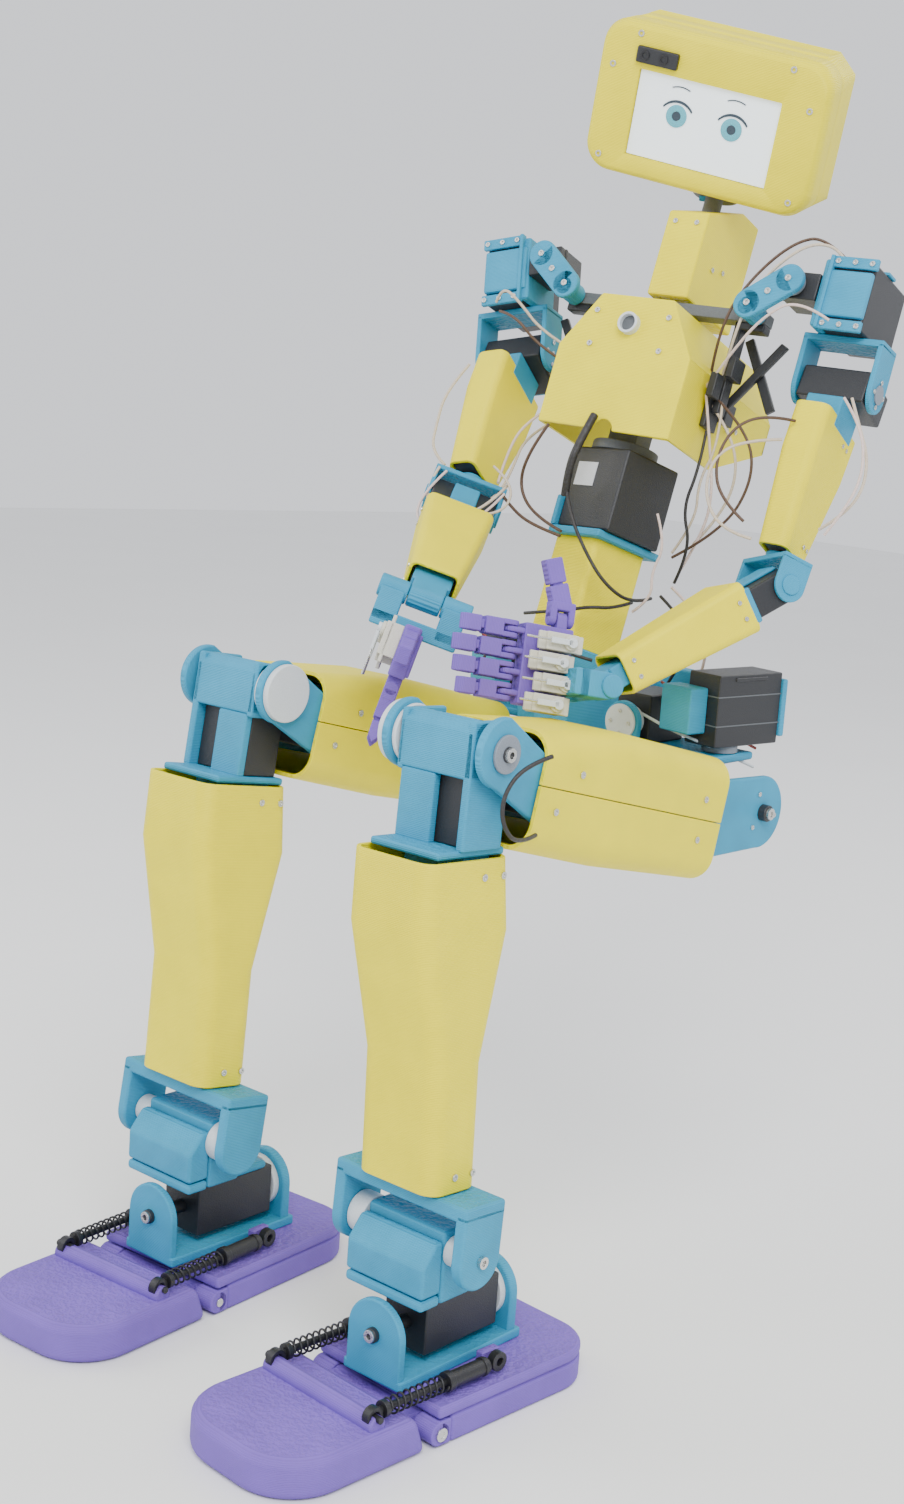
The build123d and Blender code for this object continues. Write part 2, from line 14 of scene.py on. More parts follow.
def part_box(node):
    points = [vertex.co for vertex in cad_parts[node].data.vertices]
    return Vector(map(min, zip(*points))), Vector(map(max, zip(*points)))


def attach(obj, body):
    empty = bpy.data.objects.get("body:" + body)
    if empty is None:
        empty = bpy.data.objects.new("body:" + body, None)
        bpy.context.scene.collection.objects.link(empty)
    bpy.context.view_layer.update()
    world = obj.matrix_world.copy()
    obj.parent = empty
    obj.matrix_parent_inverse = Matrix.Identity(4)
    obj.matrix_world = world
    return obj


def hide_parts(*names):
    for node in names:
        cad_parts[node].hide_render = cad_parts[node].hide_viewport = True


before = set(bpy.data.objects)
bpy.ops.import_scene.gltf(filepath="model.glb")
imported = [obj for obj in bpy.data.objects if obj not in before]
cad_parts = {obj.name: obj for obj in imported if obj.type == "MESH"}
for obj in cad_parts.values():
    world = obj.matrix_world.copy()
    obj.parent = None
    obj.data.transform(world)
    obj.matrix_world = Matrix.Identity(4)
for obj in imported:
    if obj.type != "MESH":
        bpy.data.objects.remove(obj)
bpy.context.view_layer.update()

MM = 0.001
SIDES = {"left": 1, "right": -1}

# ---- places, as in the CAD ----
TORSO_ORIGIN = (1.6, -29.6, 282.0)
SHOULDER = (104.0, 12.0, 150.0)
LIFT_AXIS = (144.0, 48.0, 86.0)
UPPER_ARM = 157.0
FOREARM = 160.0
LEG_POSE = {
    "left": {"turn": 8.73, "thigh": -103.6, "knee": 100.2, "ankle": 3.4},
    "right": {"turn": -8.73, "thigh": -103.33, "knee": 95.33, "ankle": 8.0},
}
ARM_POSE = {
    "left": {"swing": 0.1, "lift": -9.1, "twist": -35.5, "elbow": -40.5, "wrist": -35.0},
    "right": {"swing": -13.7, "lift": -26.5, "twist": -38.5, "elbow": -26.7, "wrist": 60.0},
}


def move(x, y, z):
    return Matrix.Translation((x, y, z))


def turn(axis, degrees):
    return Matrix.Rotation(math.radians(degrees), 4, axis)


def body_places():
    """Local frame of every body, in millimetres."""
    places = {"pelvis": Matrix.Identity(4)}
    places["waist"] = move(*TORSO_ORIGIN) @ turn("Y", -2.02) @ turn("X", -17.14)
    places["torso"] = places["waist"] @ turn("Z", 16.98)
    places["neck"] = places["torso"] @ move(0, 56, 206) @ turn("Z", 9.1)
    head = turn("Z", 9.1) @ turn("X", 30.8) @ turn("Y", 6.4)
    places["head"] = places["torso"] @ move(2.8, 6.6, 258.2) @ head
    for side, s in SIDES.items():
        leg = LEG_POSE[side]
        hip = move(s * 114.3, 0, 44.5)
        places[side + "_hip_fixed"] = hip
        places[side + "_hip"] = hip @ turn("Z", s * leg["turn"])
        thigh = places[side + "_hip"] @ turn("X", leg["thigh"])
        shin = thigh @ move(0, 0, -301) @ turn("X", leg["knee"])
        ankle = shin @ move(0, 14, -317) @ turn("X", leg["ankle"])
        foot = ankle @ move(0, 11, -116)
        places[side + "_thigh"] = thigh
        places[side + "_shin"] = shin
        places[side + "_ankle"] = ankle
        places[side + "_foot"] = foot
        places[side + "_sole"] = foot @ turn("Z", -s * 3.8)
        arm = ARM_POSE[side]
        reach = [LIFT_AXIS[i] - SHOULDER[i] for i in range(3)]
        shoulder = places["torso"] @ move(s * SHOULDER[0], SHOULDER[1], SHOULDER[2])
        shoulder = shoulder @ turn("Y", -s * arm["swing"])
        upper = shoulder @ move(s * reach[0], reach[1], reach[2]) @ turn("X", arm["lift"])
        elbow = upper @ turn("Z", s * arm["twist"])
        forearm = elbow @ move(0, 0, -UPPER_ARM) @ turn("X", arm["elbow"])
        places[side + "_shoulder"] = shoulder
        places[side + "_upper_arm"] = upper
        places[side + "_elbow"] = elbow
        places[side + "_forearm"] = forearm
        hand = forearm @ move(0, 0, -FOREARM) @ turn("X", arm["wrist"])
        places[side + "_hand"] = hand
        places[side + "_palm"] = hand @ turn("Z", -s * 90)
    return places


PLACES = body_places()


# ---- materials ----
def new_material(name):
    material = bpy.data.materials.new(name)
    material.use_nodes = True
    nodes = material.node_tree.nodes
    shader = nodes["Principled BSDF"]
    return material, nodes, material.node_tree.links, shader


def printed(name, colour, variation=0.06, roughness=0.42, layer=1.1, depth=0.25, axis="Z"):
    """Layered 3-D print: fine lines across the build direction, slight blotches and sheen changes."""
    material, nodes, links, shader = new_material(name)
    place = nodes.new("ShaderNodeTexCoord")
    wave = nodes.new("ShaderNodeTexWave")
    wave.wave_type = "BANDS"
    wave.bands_direction = axis
    wave.inputs["Scale"].default_value = 0.314 / layer
    wave.inputs["Distortion"].default_value = 0.25
    wave.inputs["Detail"].default_value = 1.5
    links.new(place.outputs["Object"], wave.inputs["Vector"])
    noise = nodes.new("ShaderNodeTexNoise")
    noise.inputs["Scale"].default_value = 0.03
    noise.inputs["Detail"].default_value = 5.0
    links.new(place.outputs["Object"], noise.inputs["Vector"])
    ramp = nodes.new("ShaderNodeValToRGB")
    dark = [c * (1 - variation * 1.6) for c in colour]
    light = [min(1.0, c * (1 + variation)) for c in colour]
    ramp.color_ramp.elements[0].position = 0.32
    ramp.color_ramp.elements[0].color = (*dark, 1)
    ramp.color_ramp.elements[1].position = 0.68
    ramp.color_ramp.elements[1].color = (*light, 1)
    links.new(noise.outputs["Fac"], ramp.inputs["Fac"])
    lines = nodes.new("ShaderNodeMix")
    lines.data_type = "RGBA"
    lines.blend_type = "MULTIPLY"
    lines.inputs["Factor"].default_value = 0.10
    links.new(ramp.outputs["Color"], lines.inputs["A"])
    links.new(wave.outputs["Color"], lines.inputs["B"])
    links.new(lines.outputs["Result"], shader.inputs["Base Color"])
    sheen = nodes.new("ShaderNodeMapRange")
    sheen.inputs["To Min"].default_value = roughness - 0.07
    sheen.inputs["To Max"].default_value = roughness + 0.10
    links.new(noise.outputs["Fac"], sheen.inputs["Value"])
    links.new(sheen.outputs["Result"], shader.inputs["Roughness"])
    shader.inputs["Specular IOR Level"].default_value = 0.25
    bump = nodes.new("ShaderNodeBump")
    bump.inputs["Strength"].default_value = depth
    bump.inputs["Distance"].default_value = 0.25
    links.new(wave.outputs["Fac"], bump.inputs["Height"])
    links.new(bump.outputs["Normal"], shader.inputs["Normal"])
    return material


def moulded(name, colour, roughness=0.45, metallic=0.0, grain=1.2, depth=0.15, spread=0.12):
    """Moulded plastic, rubber or metal with a fine grain and uneven gloss."""
    material, nodes, links, shader = new_material(name)
    place = nodes.new("ShaderNodeTexCoord")
    noise = nodes.new("ShaderNodeTexNoise")
    noise.inputs["Scale"].default_value = grain
    noise.inputs["Detail"].default_value = 4.0
    links.new(place.outputs["Object"], noise.inputs["Vector"])
    ramp = nodes.new("ShaderNodeValToRGB")
    ramp.color_ramp.elements[0].position = 0.3
    ramp.color_ramp.elements[0].color = (*[c * (1 - spread) for c in colour], 1)
    ramp.color_ramp.elements[1].position = 0.7
    ramp.color_ramp.elements[1].color = (*[min(1, c * (1 + spread)) for c in colour], 1)
    links.new(noise.outputs["Fac"], ramp.inputs["Fac"])
    links.new(ramp.outputs["Color"], shader.inputs["Base Color"])
    gloss = nodes.new("ShaderNodeMapRange")
    gloss.inputs["To Min"].default_value = max(0.03, roughness - 0.08)
    gloss.inputs["To Max"].default_value = roughness + 0.08
    links.new(noise.outputs["Fac"], gloss.inputs["Value"])
    links.new(gloss.outputs["Result"], shader.inputs["Roughness"])
    shader.inputs["Metallic"].default_value = metallic
    bump = nodes.new("ShaderNodeBump")
    bump.inputs["Strength"].default_value = depth
    bump.inputs["Distance"].default_value = 0.1
    links.new(noise.outputs["Fac"], bump.inputs["Height"])
    links.new(bump.outputs["Normal"], shader.inputs["Normal"])
    return material


def glowing_panel(name, colour, strength):
    """Backlit display with a slight unevenness."""
    material, nodes, links, shader = new_material(name)
    place = nodes.new("ShaderNodeTexCoord")
    noise = nodes.new("ShaderNodeTexNoise")
    noise.inputs["Scale"].default_value = 0.02
    links.new(place.outputs["Object"], noise.inputs["Vector"])
    ramp = nodes.new("ShaderNodeValToRGB")
    ramp.color_ramp.elements[0].color = (*[c * 0.94 for c in colour], 1)
    ramp.color_ramp.elements[1].color = (*colour, 1)
    links.new(noise.outputs["Fac"], ramp.inputs["Fac"])
    links.new(ramp.outputs["Color"], shader.inputs["Base Color"])
    links.new(ramp.outputs["Color"], shader.inputs["Emission Color"])
    shader.inputs["Emission Strength"].default_value = strength
    shader.inputs["Roughness"].default_value = 0.15
    return material


GREEN = printed("printed_yellow_green", (0.93, 0.80, 0.002), variation=0.03)
BLUE = printed("printed_blue", (0.035, 0.31, 0.50), variation=0.07, roughness=0.5)
PURPLE = printed("printed_purple", (0.19, 0.11, 0.50), variation=0.05, roughness=0.62)
BLACK = moulded("servo_black", (0.018, 0.019, 0.022), roughness=0.42)
GREY = moulded("bracket_grey", (0.10, 0.11, 0.12), roughness=0.5)
SLATE = moulded("horn_slate", (0.20, 0.23, 0.27), roughness=0.45)
WHITE = moulded("horn_white", (0.62, 0.66, 0.68), roughness=0.4, spread=0.05)
CREAM = moulded("servo_cream", (0.62, 0.60, 0.50), roughness=0.45, spread=0.06)
STEEL = moulded("steel", (0.62, 0.62, 0.60), roughness=0.28, metallic=1.0, spread=0.06)
DARK_STEEL = moulded("black_steel", (0.035, 0.035, 0.038), roughness=0.35, metallic=0.6)
TAN = moulded("lead_tan", (0.56, 0.47, 0.36), roughness=0.5, grain=400.0, spread=0.08)
ROSE = moulded("lead_rose", (0.66, 0.52, 0.48), roughness=0.5, grain=400.0, spread=0.08)
BROWN = moulded("lead_brown", (0.085, 0.045, 0.025), roughness=0.5, grain=400.0, spread=0.12)
RED = moulded("lead_red", (0.26, 0.035, 0.020), roughness=0.5, grain=400.0, spread=0.12)
INKY = moulded("lead_black", (0.020, 0.018, 0.018), roughness=0.5, grain=400.0, spread=0.12)
LABEL = moulded("servo_label", (0.55, 0.56, 0.58), roughness=0.5, spread=0.05)
FLOOR = moulded("floor", (0.86, 0.86, 0.85), roughness=0.8, grain=3.0, depth=0.02, spread=0.01)
SCREEN = glowing_panel("display_white", (0.86, 0.93, 0.96), 0.55)
IRIS = moulded("display_teal", (0.10, 0.42, 0.52), roughness=0.3)
INK = moulded("display_dark", (0.03, 0.05, 0.07), roughness=0.3)


# ---- shapes: each returns a function that adds itself to a bmesh ----
def prism(axis, low, high, outline):
    """Outline extruded along an axis. X: points are (y, z). Y: (x, z). Z: (x, y)."""
    def add(bm):
        def vertex(level, a, b):
            if axis == "x":
                return bm.verts.new((level, a, b))
            if axis == "y":
                return bm.verts.new((a, level, b))
            return bm.verts.new((a, b, level))
        near = [vertex(low, a, b) for a, b in outline]
        far = [vertex(high, a, b) for a, b in outline]
        faces = [bm.faces.new(near), bm.faces.new(far)]
        count = len(outline)
        for i in range(count):
            j = (i + 1) % count
            faces.append(bm.faces.new((near[i], near[j], far[j], far[i])))
        bmesh.ops.recalc_face_normals(bm, faces=faces)
    return add


def box(x0, x1, y0, y1, z0, z1):
    return prism("z", z0, z1, [(x0, y0), (x1, y0), (x1, y1), (x0, y1)])


def circle(cx, cy, r, start=0.0, end=360.0, steps=40):
    """Points on an arc; a full circle leaves its last point out."""
    full = abs(end - start) >= 360
    count = steps if full else steps + 1
    points = []
    for i in range(count):
        angle = math.radians(start + (end - start) * i / steps)
        points.append((cx + r * math.cos(angle), cy + r * math.sin(angle)))
    return points


def disc(axis, low, high, a, b, r, steps=40):
    return prism(axis, low, high, circle(a, b, r, steps=steps))


def ring(axis, low, high, a, b, outer, inner, steps=40):
    """Flat washer or short tube."""
    def add(bm):
        loops = []
        for level, r in ((low, outer), (high, outer), (high, inner), (low, inner)):
            loop = []
            for u, v in circle(a, b, r, steps=steps):
                if axis == "x":
                    loop.append(bm.verts.new((level, u, v)))
                elif axis == "y":
                    loop.append(bm.verts.new((u, level, v)))
                else:
                    loop.append(bm.verts.new((u, v, level)))
            loops.append(loop)
        faces = join_loops(bm, loops, closed=True)
        bmesh.ops.recalc_face_normals(bm, faces=faces)
    return add


def join_loops(bm, loops, closed=False):
    faces = []
    pairs = list(zip(loops, loops[1:]))
    if closed:
        pairs.append((loops[-1], loops[0]))
    for one, two in pairs:
        count = len(one)
        for i in range(count):
            j = (i + 1) % count
            faces.append(bm.faces.new((one[i], one[j], two[j], two[i])))
    return faces


def rounded_outline(x0, x1, y0, y1, r, steps=8):
    points = []
    for cx, cy, start in ((x1 - r, y1 - r, 0), (x0 + r, y1 - r, 90), (x0 + r, y0 + r, 180),
        (x1 - r, y0 + r, 270)):
        points.extend(circle(cx, cy, r, start, start + 90, steps))
    return points


def ear(low, high, r, z_end, half=None):
    """Side plate with a round end about the X axis."""
    half = half or r
    if z_end > 0:
        outline = circle(0, 0, r, 180, 360, 24) + [(half, z_end), (-half, z_end)]
    else:
        outline = circle(0, 0, r, 0, 180, 24) + [(-half, z_end), (half, z_end)]
    return prism("x", low, high, outline)


def cover(stations, wall, corner, keep=None):
    """Tapered open-ended cover with a wall. A station is (z, front y, rear y, width)."""
    def add(bm):
        def rings(inset):
            loops = []
            for z, front, rear, width in stations:
                half = width / 2 - inset
                outline = rounded_outline(-half, half, front + inset, rear - inset, corner - inset)
                loops.append([bm.verts.new((x, y, z)) for x, y in outline])
            return loops
        outside = rings(0)
        inside = rings(wall)
        faces = join_loops(bm, outside + inside[::-1], closed=True)
        bmesh.ops.recalc_face_normals(bm, faces=faces)
        if keep:
            low, high = keep
            for level, normal in ((high, 1), (low, -1)):
                everything = bm.verts[:] + bm.edges[:] + bm.faces[:]
                cut = bmesh.ops.bisect_plane(bm, geom=everything, plane_co=(0, level, 0),
                    plane_no=(0, normal, 0), clear_outer=True)
                edges = [e for e in cut["geom_cut"] if isinstance(e, bmesh.types.BMEdge)]
                bmesh.ops.contextual_create(bm, geom=edges)
    return add


# ---- pieces ----
def piece(name, place, body, material, shapes, bevel=0.8, segments=3, stands_for=(), mirrored=False):
    """One mesh from several shapes, in millimetres of its place, riding on a body."""
    bm = bmesh.new()
    for shape in shapes:
        shape(bm)
    if mirrored:
        bmesh.ops.scale(bm, vec=(-1, 1, 1), verts=bm.verts)
        bmesh.ops.reverse_faces(bm, faces=bm.faces)
    mesh = bpy.data.meshes.new(name)
    bm.to_mesh(mesh)
    bm.free()
    mesh.materials.append(material)
    mesh.polygons.foreach_set("use_smooth", [True] * len(mesh.polygons))
    made = bpy.data.objects.new(name, mesh)
    bpy.context.collection.objects.link(made)
    made.matrix_world = Matrix.Scale(MM, 4) @ place
    if bevel:
        edge = made.modifiers.new("edge", "BEVEL")
        edge.width = bevel
        edge.segments = segments
        edge.limit_method = "ANGLE"
        edge.angle_limit = math.radians(35)
        edge.harden_normals = False
    weighted = made.modifiers.new("normals", "WEIGHTED_NORMAL")
    weighted.keep_sharp = True
    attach(made, body)
    if stands_for:
        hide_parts(*stands_for)
    return made


def side_piece(side, name, place, body, material, shapes, stands_for=(), **options):
    """A piece of a limb: names get the side, and right ones are mirrored."""
    nodes = [side + "_" + node for node in stands_for]
    return piece(side + "_" + name, PLACES[side + "_" + place], side + "_" + body, material, shapes,
        stands_for=nodes, mirrored=side == "right", **options)


def limb(side, place, body):
    """A function that adds pieces to one body of one side, drawn in one place."""
    def add(name, material, shapes, **options):
        return side_piece(side, name, place, body, material, shapes, **options)
    return add


def screw_shapes(axis, level, out, spots, r=2.7, height=1.8):
    """Socket-head screws standing on a face at a level, pointing out (+1 or -1)."""
    shapes = []
    for a, b in spots:
        low, high = sorted((level, level + out * height))
        shapes.append(ring(axis, low, high, a, b, r, r * 0.48, 20))
        base, top = sorted((level, level + out * height * 0.35))
        shapes.append(disc(axis, base, top, a, b, r * 0.6, 12))
    return shapes


def make_camera_and_light():
    azimuth, pitch, roll = math.radians(48.98), math.radians(10.33), math.radians(4.14)
    forward = Vector((-math.sin(azimuth) * math.cos(pitch), math.cos(azimuth) * math.cos(pitch),
        -math.sin(pitch)))
    right = forward.cross(Vector((0, 0, 1))).normalized()
    up = right.cross(forward)
    right_rolled = math.cos(roll) * right + math.sin(roll) * up
    up_rolled = math.cos(roll) * up - math.sin(roll) * right
    turned = Matrix((right_rolled, up_rolled, -forward)).transposed().to_4x4()
    data = bpy.data.cameras.new("camera")
    data.sensor_fit = "VERTICAL"
    data.sensor_height = 24.0
    data.sensor_width = 36.0
    data.lens = 32.56
    data.shift_x = -0.0122
    data.shift_y = -0.0094
    camera = bpy.data.objects.new("camera", data)
    camera.matrix_world = Matrix.Translation((1.0877, -1.0844, 0.3417)) @ turned
    bpy.context.collection.objects.link(camera)
    bpy.context.scene.camera = camera
    lights = [
        ("key", (1.6, -1.3, 1.9), 1.6, 72),
        ("fill", (-1.8, -1.6, 1.2), 2.0, 26),
        ("rim", (0.3, 1.9, 1.6), 1.6, 18),
    ]
    for name, spot, size, power in lights:
        lamp = bpy.data.lights.new(name, "AREA")
        lamp.shape = "DISK"
        lamp.size = size
        lamp.energy = power
        holder = bpy.data.objects.new(name, lamp)
        holder.location = spot
        aim = Vector((0, -0.1, 0.1)) - Vector(spot)
        holder.rotation_euler = aim.to_track_quat("-Z", "Y").to_euler()
        bpy.context.collection.objects.link(holder)
    world = bpy.data.worlds.new("studio")
    world.use_nodes = True
    world.node_tree.nodes["Background"].inputs["Color"].default_value = (0.93, 0.95, 1.0, 1)
    world.node_tree.nodes["Background"].inputs["Strength"].default_value = 1.15
    bpy.context.scene.world = world


def make_floor():
    """Large pale floor under the soles."""
    level = min(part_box("left_toe_plate")[0][2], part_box("right_toe_plate")[0][2]) - 0.0003
    bm = bmesh.new()
    bmesh.ops.create_grid(bm, x_segments=8, y_segments=8, size=6)
    mesh = bpy.data.meshes.new("floor")
    bm.to_mesh(mesh)
    bm.free()
    mesh.materials.append(FLOOR)
    ground = bpy.data.objects.new("floor", mesh)
    ground.location = (0, 0, level)
    bpy.context.collection.objects.link(ground)


# ---- legs ----
THIGH_STATIONS = [(-56, -30, 56, 90), (-175, -30, 59, 90), (-264, -19, 57, 90)]
SHIN_STATIONS = [(-66.4, -49, 29, 66), (-113, -46, 37, 68), (-197, -20, 26, 66), (-279, -13, 33, 66)]


def make_hip(side):
    on_hip_turn = limb(side, "hip", "hip_turn")
    on_hip_roll = limb(side, "hip", "hip_roll")
    shell = [box(-15, 15, -22, 44, 43, 95)]
    fixed = PLACES[side + "_hip_fixed"]
    mirrored = side == "right"
    piece(side + "_hip_servo", fixed, "pelvis", BLACK, shell + [box(-16, 16, -6, 28, 90, 93)],
        bevel=1.2, mirrored=mirrored)
    piece(side + "_hip_servo_bracket", fixed, "pelvis", BLUE, [box(-24, 5, -40, -22, 52, 85),
        box(-17, 17, 44, 49, 48, 90), box(-19, -15, 20, 44, 46, 92)], bevel=1.5, mirrored=mirrored)
    piece(side + "_hip_servo_seams", fixed, "pelvis", GREY, [box(-15.3, 15.3, -22.3, 44.3, 58, 59),
        box(-15.3, 15.3, -22.3, 44.3, 79, 80)], bevel=0.2, mirrored=mirrored)
    piece(side + "_hip_turn_horn", fixed, "pelvis", SLATE, [disc("z", 37.4, 43, 0, 0, 13)], bevel=0.6,
        mirrored=mirrored)
    on_hip_turn("hip_plate", BLUE, [box(-74, 14, -36, 24, 31, 37)], bevel=2,
        stands_for=["hip_turn_link"])
    on_hip_turn("hip_roll_servo", BLACK, [box(-72, -42, -30, 14, 37, 73)], bevel=1.5)
    front = prism("y", -44, -38, circle(-57, 53, 15, -10, 190, 24) + [(-70, -22), (-50, -22)])
    on_hip_roll("hip_front_plate", BLUE, [front, box(-56, -50, -44, 22, -22, 22)], bevel=1.5,
        stands_for=["hip_block"])
    on_hip_roll("hip_roll_horn", WHITE, [disc("y", -46, -44, -57, 53, 13),
        disc("y", -38, -30.6, -57, 53, 11)], bevel=0.6)
    on_hip_roll("hip_pitch_servo", BLACK, [disc("x", -34, 34, 0, 0, 17), disc("x", -50, 47, 0, 0, 6)],
        bevel=1.0)
    spots = [(-57 + 8 * math.cos(a * math.pi / 2), 53 + 8 * math.sin(a * math.pi / 2)) for a in range(4)]
    on_hip_roll("hip_screws", STEEL, screw_shapes("y", -46, -1, spots, 1.6, 1.0) + screw_shapes("x",
        46.5, 1, [(0, 0)], 4.2, 2.6), bevel=0.2)


def make_thigh(side):
    on_thigh = limb(side, "thigh", "thigh")
    plates = []
    for e in (-1, 1):
        low, high = sorted((e * 35, e * 41))
        arc_hip = circle(0, 0, 26, 5, 185, 28)
        arc_knee = circle(0, -301, 22, 180, 360, 28)
        outline = arc_hip + [(-15, -60), (-14, -175), (-6, -262)] + arc_knee + [(40, -250), (40, -60)]
        plates.append(prism("x", low, high, outline))
    blocks = [box(-35, 35, 0, 30, -96, -66), box(-35, 35, 2, 32, -226, -196)]
    on_thigh("thigh_plates", BLUE, plates + blocks, bevel=1.6, stands_for=["thigh_frame"])
    on_thigh("thigh_knee_servo", BLACK, [box(-33, 33, 6, 34, -262, -232)], bevel=1.5)
    on_thigh("knee_horn", WHITE, [disc("x", -34.8, -31.4, 0, -301, 19),
        disc("x", -46, -41, 0, -301, 20)], bevel=1.0)
    seam = 14.0
    on_thigh("thigh_cover_upper", GREEN, [cover(THIGH_STATIONS, 3, 18, (-80, seam - 0.3))], bevel=0.8,
        stands_for=["thigh_cover"])
    on_thigh("thigh_cover_lower", GREEN, [cover(THIGH_STATIONS, 3, 18, (seam + 0.3, 90))], bevel=0.8)
    spots = [(0, -82), (28, -82), (2, -226), (28, -245)]
    on_thigh("thigh_screws", STEEL, screw_shapes("x", 45, 1, spots, 2.4, 1.2) + screw_shapes("x", -45,
        -1, spots, 2.4, 1.2) + screw_shapes("x", 41, 1, [(12, -9), (-12, -9), (0, 16)], 1.8, 1.0),
        bevel=0.2)


def make_shin(side):
    on_shin = limb(side, "shin", "shin")
    knee = [prism("x", -30, 30, [(-17, -18), (-17, 12), (-12, 18), (-4, 18), (-4, -18)]),
        box(-26, 2, -17, -10, -62, -18), box(24, 30, -17, 20, -62, 18), box(-30, -25, -17, 20, -20, 18),
        box(-28, 28, -36, 26, -66, -61), box(-24, 24, -8, 18, -280, -66)]
    on_shin("knee_block", BLUE, knee, bevel=1.8, stands_for=["shin_frame"])
    fork = [prism("y", -5, 33, [(-56, -290), (56, -290), (56, -280), (-56, -280)])]
    for e in (-1, 1):
        low, high = sorted((e * 47, e * 56))
        fork.append(prism("x", low, high, circle(14, -317, 19, 180, 360, 28) + [(33, -284), (-5, -284)]))
    on_shin("ankle_fork", BLUE, fork, bevel=2.2)
    on_shin("knee_servo", BLACK, [box(-25, 23.5, -9.5, 20, -61, 11), disc("x", -33, 45, 0, 0, 5)],
        bevel=1.4)
    on_shin("knee_idler", SLATE, [disc("x", 41.2, 43.5, 0, 0, 12)], bevel=0.6)
    on_shin("shin_cover_print", GREEN, [cover(SHIN_STATIONS, 3, 12)], bevel=0.8,
        stands_for=["shin_cover"])
    spots = [(3, -77.5), (21, -77.5), (7, -268.3), (24, -268.3)]
    on_shin("shin_screws", STEEL, screw_shapes("x", 33, 1, spots, 2.4, 1.2) + screw_shapes("x", -33, -1,
        spots, 2.4, 1.2) + screw_shapes("x", 43.5, 1, [(0, 0)], 4.4, 3.0) + screw_shapes("x", 56, 1,
        [(14, -317)], 4.0, 3.0), bevel=0.2)


def make_ankle(side):
    on_ankle = limb(side, "ankle", "ankle")
    front = prism("x", -33, 33, [(-27, -27), (-27, -6), (-16, 8), (-9, 8), (-9, -27)])
    lower = prism("x", -33, 33, [(-27, -35), (-27, -28), (-9, -28), (-9, -35)])
    on_ankle("ankle_front", BLUE, [front, lower, box(-20, 20, -9, 60, -41, -35)], bevel=2.6, segments=4,
        stands_for=["ankle_block"])
    on_ankle("ankle_case", BLUE, [box(-33, 33, -8.5, 20, -34.5, 13.5)], bevel=2.4)
    on_ankle("ankle_servo", BLACK, [box(-18, 18, -3, 68, -77, -41), disc("y", -36, 84, 0, -59, 5)],
        bevel=1.4)
    on_ankle("ankle_discs", WHITE, [disc("x", -46.6, -33, 0, 0, 14), disc("x", 33, 46.6, 0, 0, 10)],
        bevel=0.8)
    on_ankle("ankle_bolt", STEEL, screw_shapes("y", -33, -1, [(0, -59)], 4.2, 4.0), bevel=0.2)


def make_foot(side):
    on_foot_foot = limb(side, "foot", "foot")
    on_sole_foot = limb(side, "sole", "foot")
    on_toe = limb(side, "sole", "toe")
    front = prism("y", -43, -37, circle(0, 57, 23, 0, 180, 28) + [(-23, 30), (23, 30)])
    rear = prism("y", 64, 72, circle(0, 57, 23, 0, 180, 28) + [(-23, 30), (23, 30)])
    on_foot_foot("foot_frame", BLUE, [box(-25, 25, -43, 75, 26, 33), front, rear], bevel=1.6,
        stands_for=["foot_bracket"])
    on_foot_foot("foot_disc", WHITE, [disc("y", 58.6, 64, 0, 57, 19)], bevel=0.8)
    half, top = 57, 26
    heel_outline = circle(half - 35, 118 - 35, 35, 0, 90, 12) + circle(35 - half, 118 - 35, 35, 90, 180,
        12)
    heel_outline += [(-half, -34), (half, -34)]
    lower_outline = heel_outline[:-2] + [(-half, -23), (half, -23)]
    heel = [prism("z", 18.2, top, heel_outline), prism("z", 0, 18.2, lower_outline)]
    on_sole_foot("heel_print", PURPLE, heel, bevel=3.0, segments=4, stands_for=["foot_sole"])
    lugs = []
    for e in (-1, 1):
        low, high = sorted((e * 39, e * half))
        lugs += [disc("x", low, high, -32, 9, 8), box(low, high, -32, -23, 1, 17)]
        low, high = sorted((e * 34, e * 40))
        lugs.append(box(low, high, 19, 35, 24, 40))
    on_sole_foot("heel_lugs", PURPLE, lugs, bevel=1.0)
    on_sole_foot("toe_pin", STEEL, [disc("x", -58.2, 58.2, -32, 9, 3)] + screw_shapes("x", 56.8, 1,
        [(-32, 9)], 4.5, 1.8), bevel=0.3)
    toe_outline = circle(half - 42, -160 + 42, 42, 270, 360, 12) + [(half, -38), (-half, -38)]
    toe_outline += circle(42 - half, -160 + 42, 42, 180, 270, 12)

    def toe(bm):
        prism("z", 0, top, toe_outline)(bm)
        for vertex in bm.verts:
            if vertex.co.y > -39:
                vertex.co.y = -52 if vertex.co.z > 13 else -42
    on_toe("toe_print", PURPLE, [toe], bevel=6.0, segments=5, stands_for=["toe_plate"])
    ridge = [disc("x", -51, 51, -81, 28, 6.5), disc("x", -38.6, 38.6, -32, 9, 7.5),
        box(-38, 38, -48, -32, 2, 16)]
    on_toe("toe_ridge", PURPLE, ridge, bevel=1.5)


